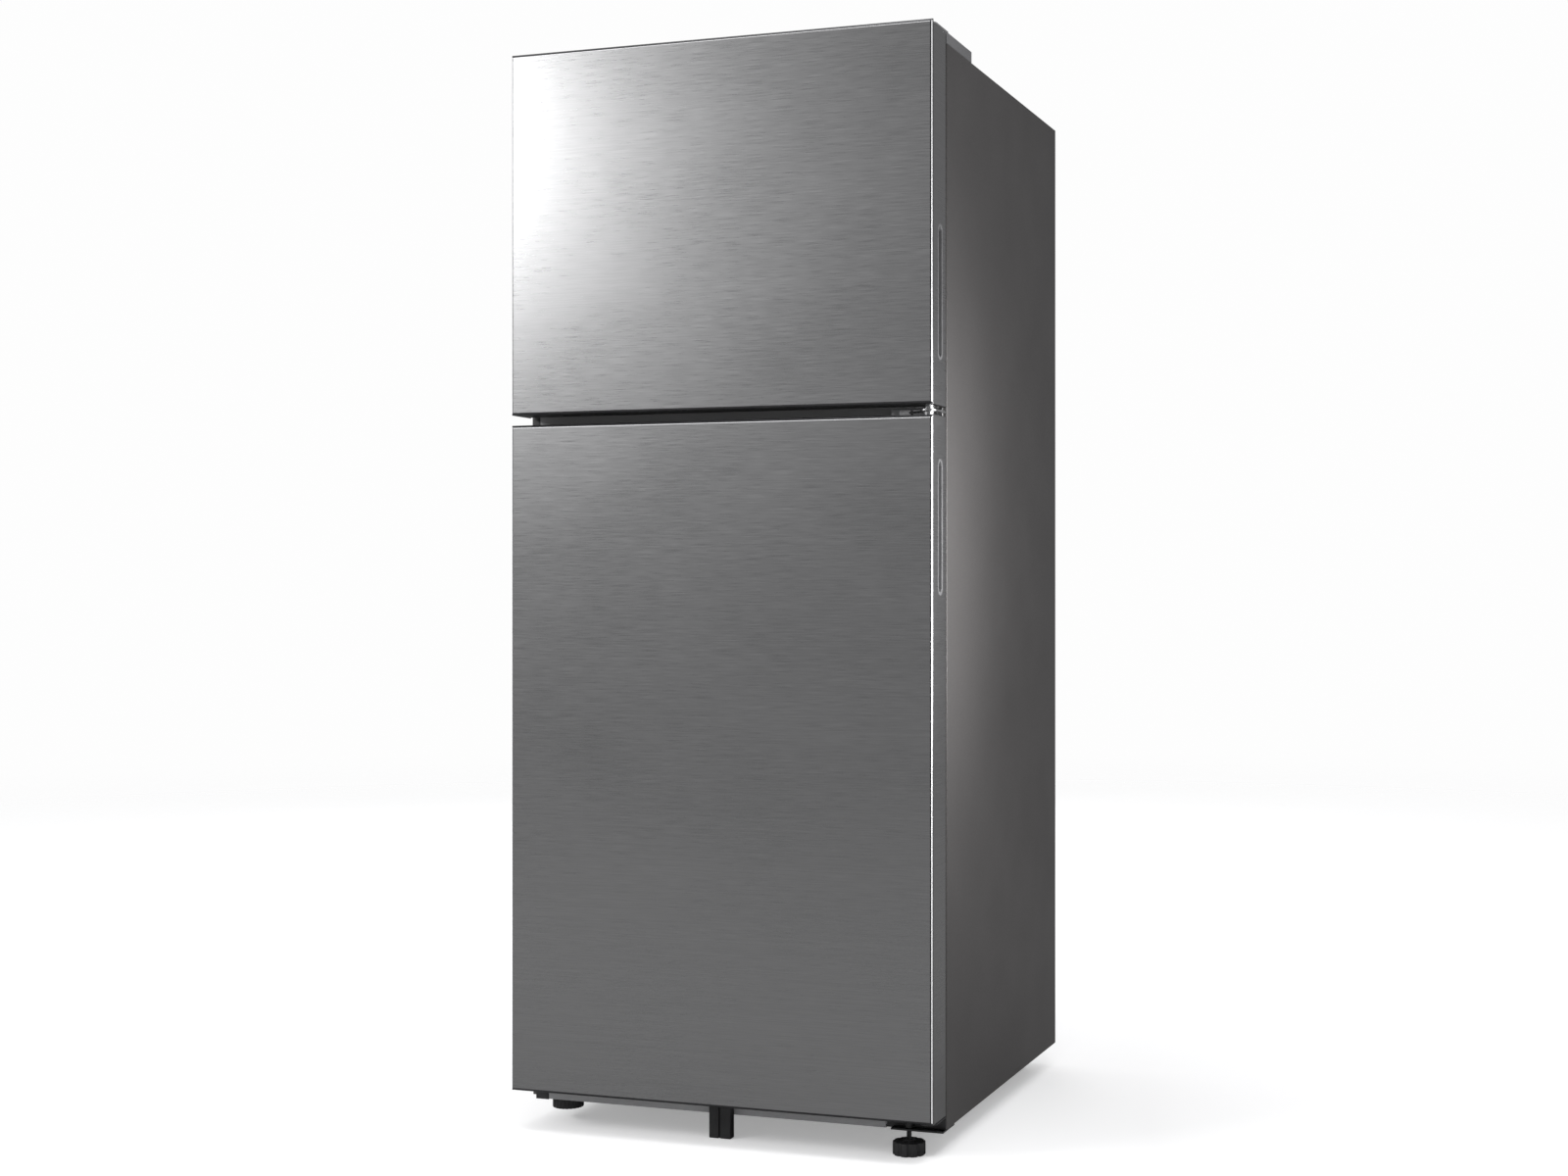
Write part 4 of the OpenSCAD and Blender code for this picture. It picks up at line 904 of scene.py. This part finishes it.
def pipes():
    low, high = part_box("refrigerant_pipes")
    y, z, radius = low.y + 9 * mm, (low.z + high.z) / 2, 3 * mm
    route = [(low.x + radius, y + 24 * mm), (low.x + radius, y + 10 * mm)]
    route += [(low.x + radius + (10 - 10 * math.cos(a)) * mm, y + (10 - 10 * math.sin(a)) * mm)
              for a in (math.pi / 8, math.pi / 4, 3 * math.pi / 8, math.pi / 2)]
    route += [(high.x - radius - (10 - 10 * math.cos(a)) * mm, y + (10 - 10 * math.sin(a)) * mm)
              for a in (math.pi / 2, 3 * math.pi / 8, math.pi / 4, math.pi / 8)]
    route += [(high.x - radius, y + 10 * mm), (high.x - radius, y + 19 * mm)]
    bm = bmesh.new()
    rings = []
    for i, (x, along) in enumerate(route):
        before, after = route[max(0, i - 1)], route[min(len(route) - 1, i + 1)]
        way = Vector((after[0] - before[0], after[1] - before[1], 0)).normalized()
        turn = Vector((0, 0, 1)).rotation_difference(way).to_matrix().to_4x4()
        made = bmesh.ops.create_circle(bm, cap_ends=False, radius=radius, segments=16,
                                       matrix=Matrix.Translation((x, along, z)) @ turn)
        rings.append({e for v in made["verts"] for e in v.link_edges})
    for first, second in zip(rings, rings[1:]):
        bmesh.ops.bridge_loops(bm, edges=list(first | second))
    closeHoles(bm)
    bmesh.ops.recalc_face_normals(bm, faces=bm.faces)
    drier = [(-8, 0), (-8, 3.2), (-2, 3.6), (4, 8.4), (7, 9), (71, 9), (74, 8.4), (80, 3.6), (86, 3.2),
             (86, 0)]
    turned(bm, [(a * mm, r * mm) for a, r in drier], (-20 * mm, y, z), (1, 0, 0), 28)
    addPiece("refrigerantPipes", bm, ("refrigerant_pipes",), None, 40)


compressorPiece()
compressorMounts()
finnedCoil("condenser", "condenserCoil", (-240, 200, 48), (-100, 330, 200), 36, 4, 3, 3)
finnedCoil("evaporator", "evaporatorCoil", (-200, 246, 1187), (200, 292, 1367), 60, 4, 2, 4)
fanPiece("condenser_fan", "condenserFan", 60, 18, (1, 0, 0), (-60 * mm, 262 * mm, 125 * mm))
fanPiece("evaporator_fan", "evaporatorFan", 54, 16, (0, -1, 0), (0, 256 * mm, 1500 * mm))
pipes()
print("machine space done")

# ---- rails, hinges and small parts that keep the frame's shape with their edges rounded

roundedParts = {
    "trim_plugs": ("trimPlugs", 0.8 * mm, 2), "base_rail": ("baseRail", 0.6 * mm, 2),
    "mullion_rail": ("mullionRail", 0.4 * mm, 2), "top_hinge": ("topHinge", 0.5 * mm, 2),
    "middle_hinge": ("middleHinge", 0.5 * mm, 2), "lower_hinge": ("lowerHinge", 0.6 * mm, 2),
    "centre_leg": ("centreLeg", 1.2 * mm, 3),
    "bottom_panel": ("bottomPanel", 0.4 * mm, 1), "compressor_base": ("compressorBase", 0.5 * mm, 2),
    "power_inlet": ("powerInlet", 0.8 * mm, 2), "evaporation_tray": ("evaporationTray", 0.7 * mm, 2),
    "evaporator_cover": ("evaporatorCover", 0.5 * mm, 2), "fridge_duct": ("fridgeDuct", 1.0 * mm, 2),
    "control_box": ("controlBox", 1.4 * mm, 3), "lamp_cover": ("lampCover", 1.8 * mm, 3),
    "shelf_glass": ("shelfGlass", 0.8 * mm, 2), "shelf_trims": ("shelfTrims", 1.2 * mm, 3),
    "ice_maker_frame": ("iceMakerFrame", 0.6 * mm, 2), "ice_tray_left": ("iceTrayLeft", 0.6 * mm, 2),
    "ice_tray_right": ("iceTrayRight", 0.6 * mm, 2), "temperature_dial": ("temperatureDial", 0.6 * mm, 2),
    "humidity_slider": ("humiditySlider", 0.6 * mm, 2), "ice_bucket": ("iceBucket", 0.8 * mm, 2),
    "fan_motors": ("fanMotors", 0.8 * mm, 2), "rear_cover": ("rearCover", 0.5 * mm, 2),
}
for node, (name, width, segments) in roundedParts.items():
    bm = mergedCopy(node)
    soften(bm, width, segments)
    addPiece(name, bm, (node,), None, 35)
print("rounded", len(roundedParts), "parts")

plateDetail = {"across": 9.2 * mm, "up": 4.6 * mm, "front": 7.2 * mm, "rear": 5.4 * mm, "corner": 2.2 * mm}


# The screws, with the square-shouldered plates under the two in the gap between the doors
def hingeScrews():
    bm = mergedCopy("hinge_screws")
    soften(bm, 0.5 * mm)
    level = (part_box("fridge_door_skin")[1].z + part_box("freezer_door_skin")[0].z) / 2
    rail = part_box("mullion_rail")[0].y
    across, up = plateDetail["across"], plateDetail["up"]
    for x in (286 * mm, 308 * mm):
        roundBox(bm, (x - across, rail - plateDetail["front"], level - up),
                 (x + across, rail - plateDetail["rear"], level + up), plateDetail["corner"], 4, 1)
    addPiece("hingeScrews", bm, ("hinge_screws",), "polishedPlate", 35)


hingeScrews()
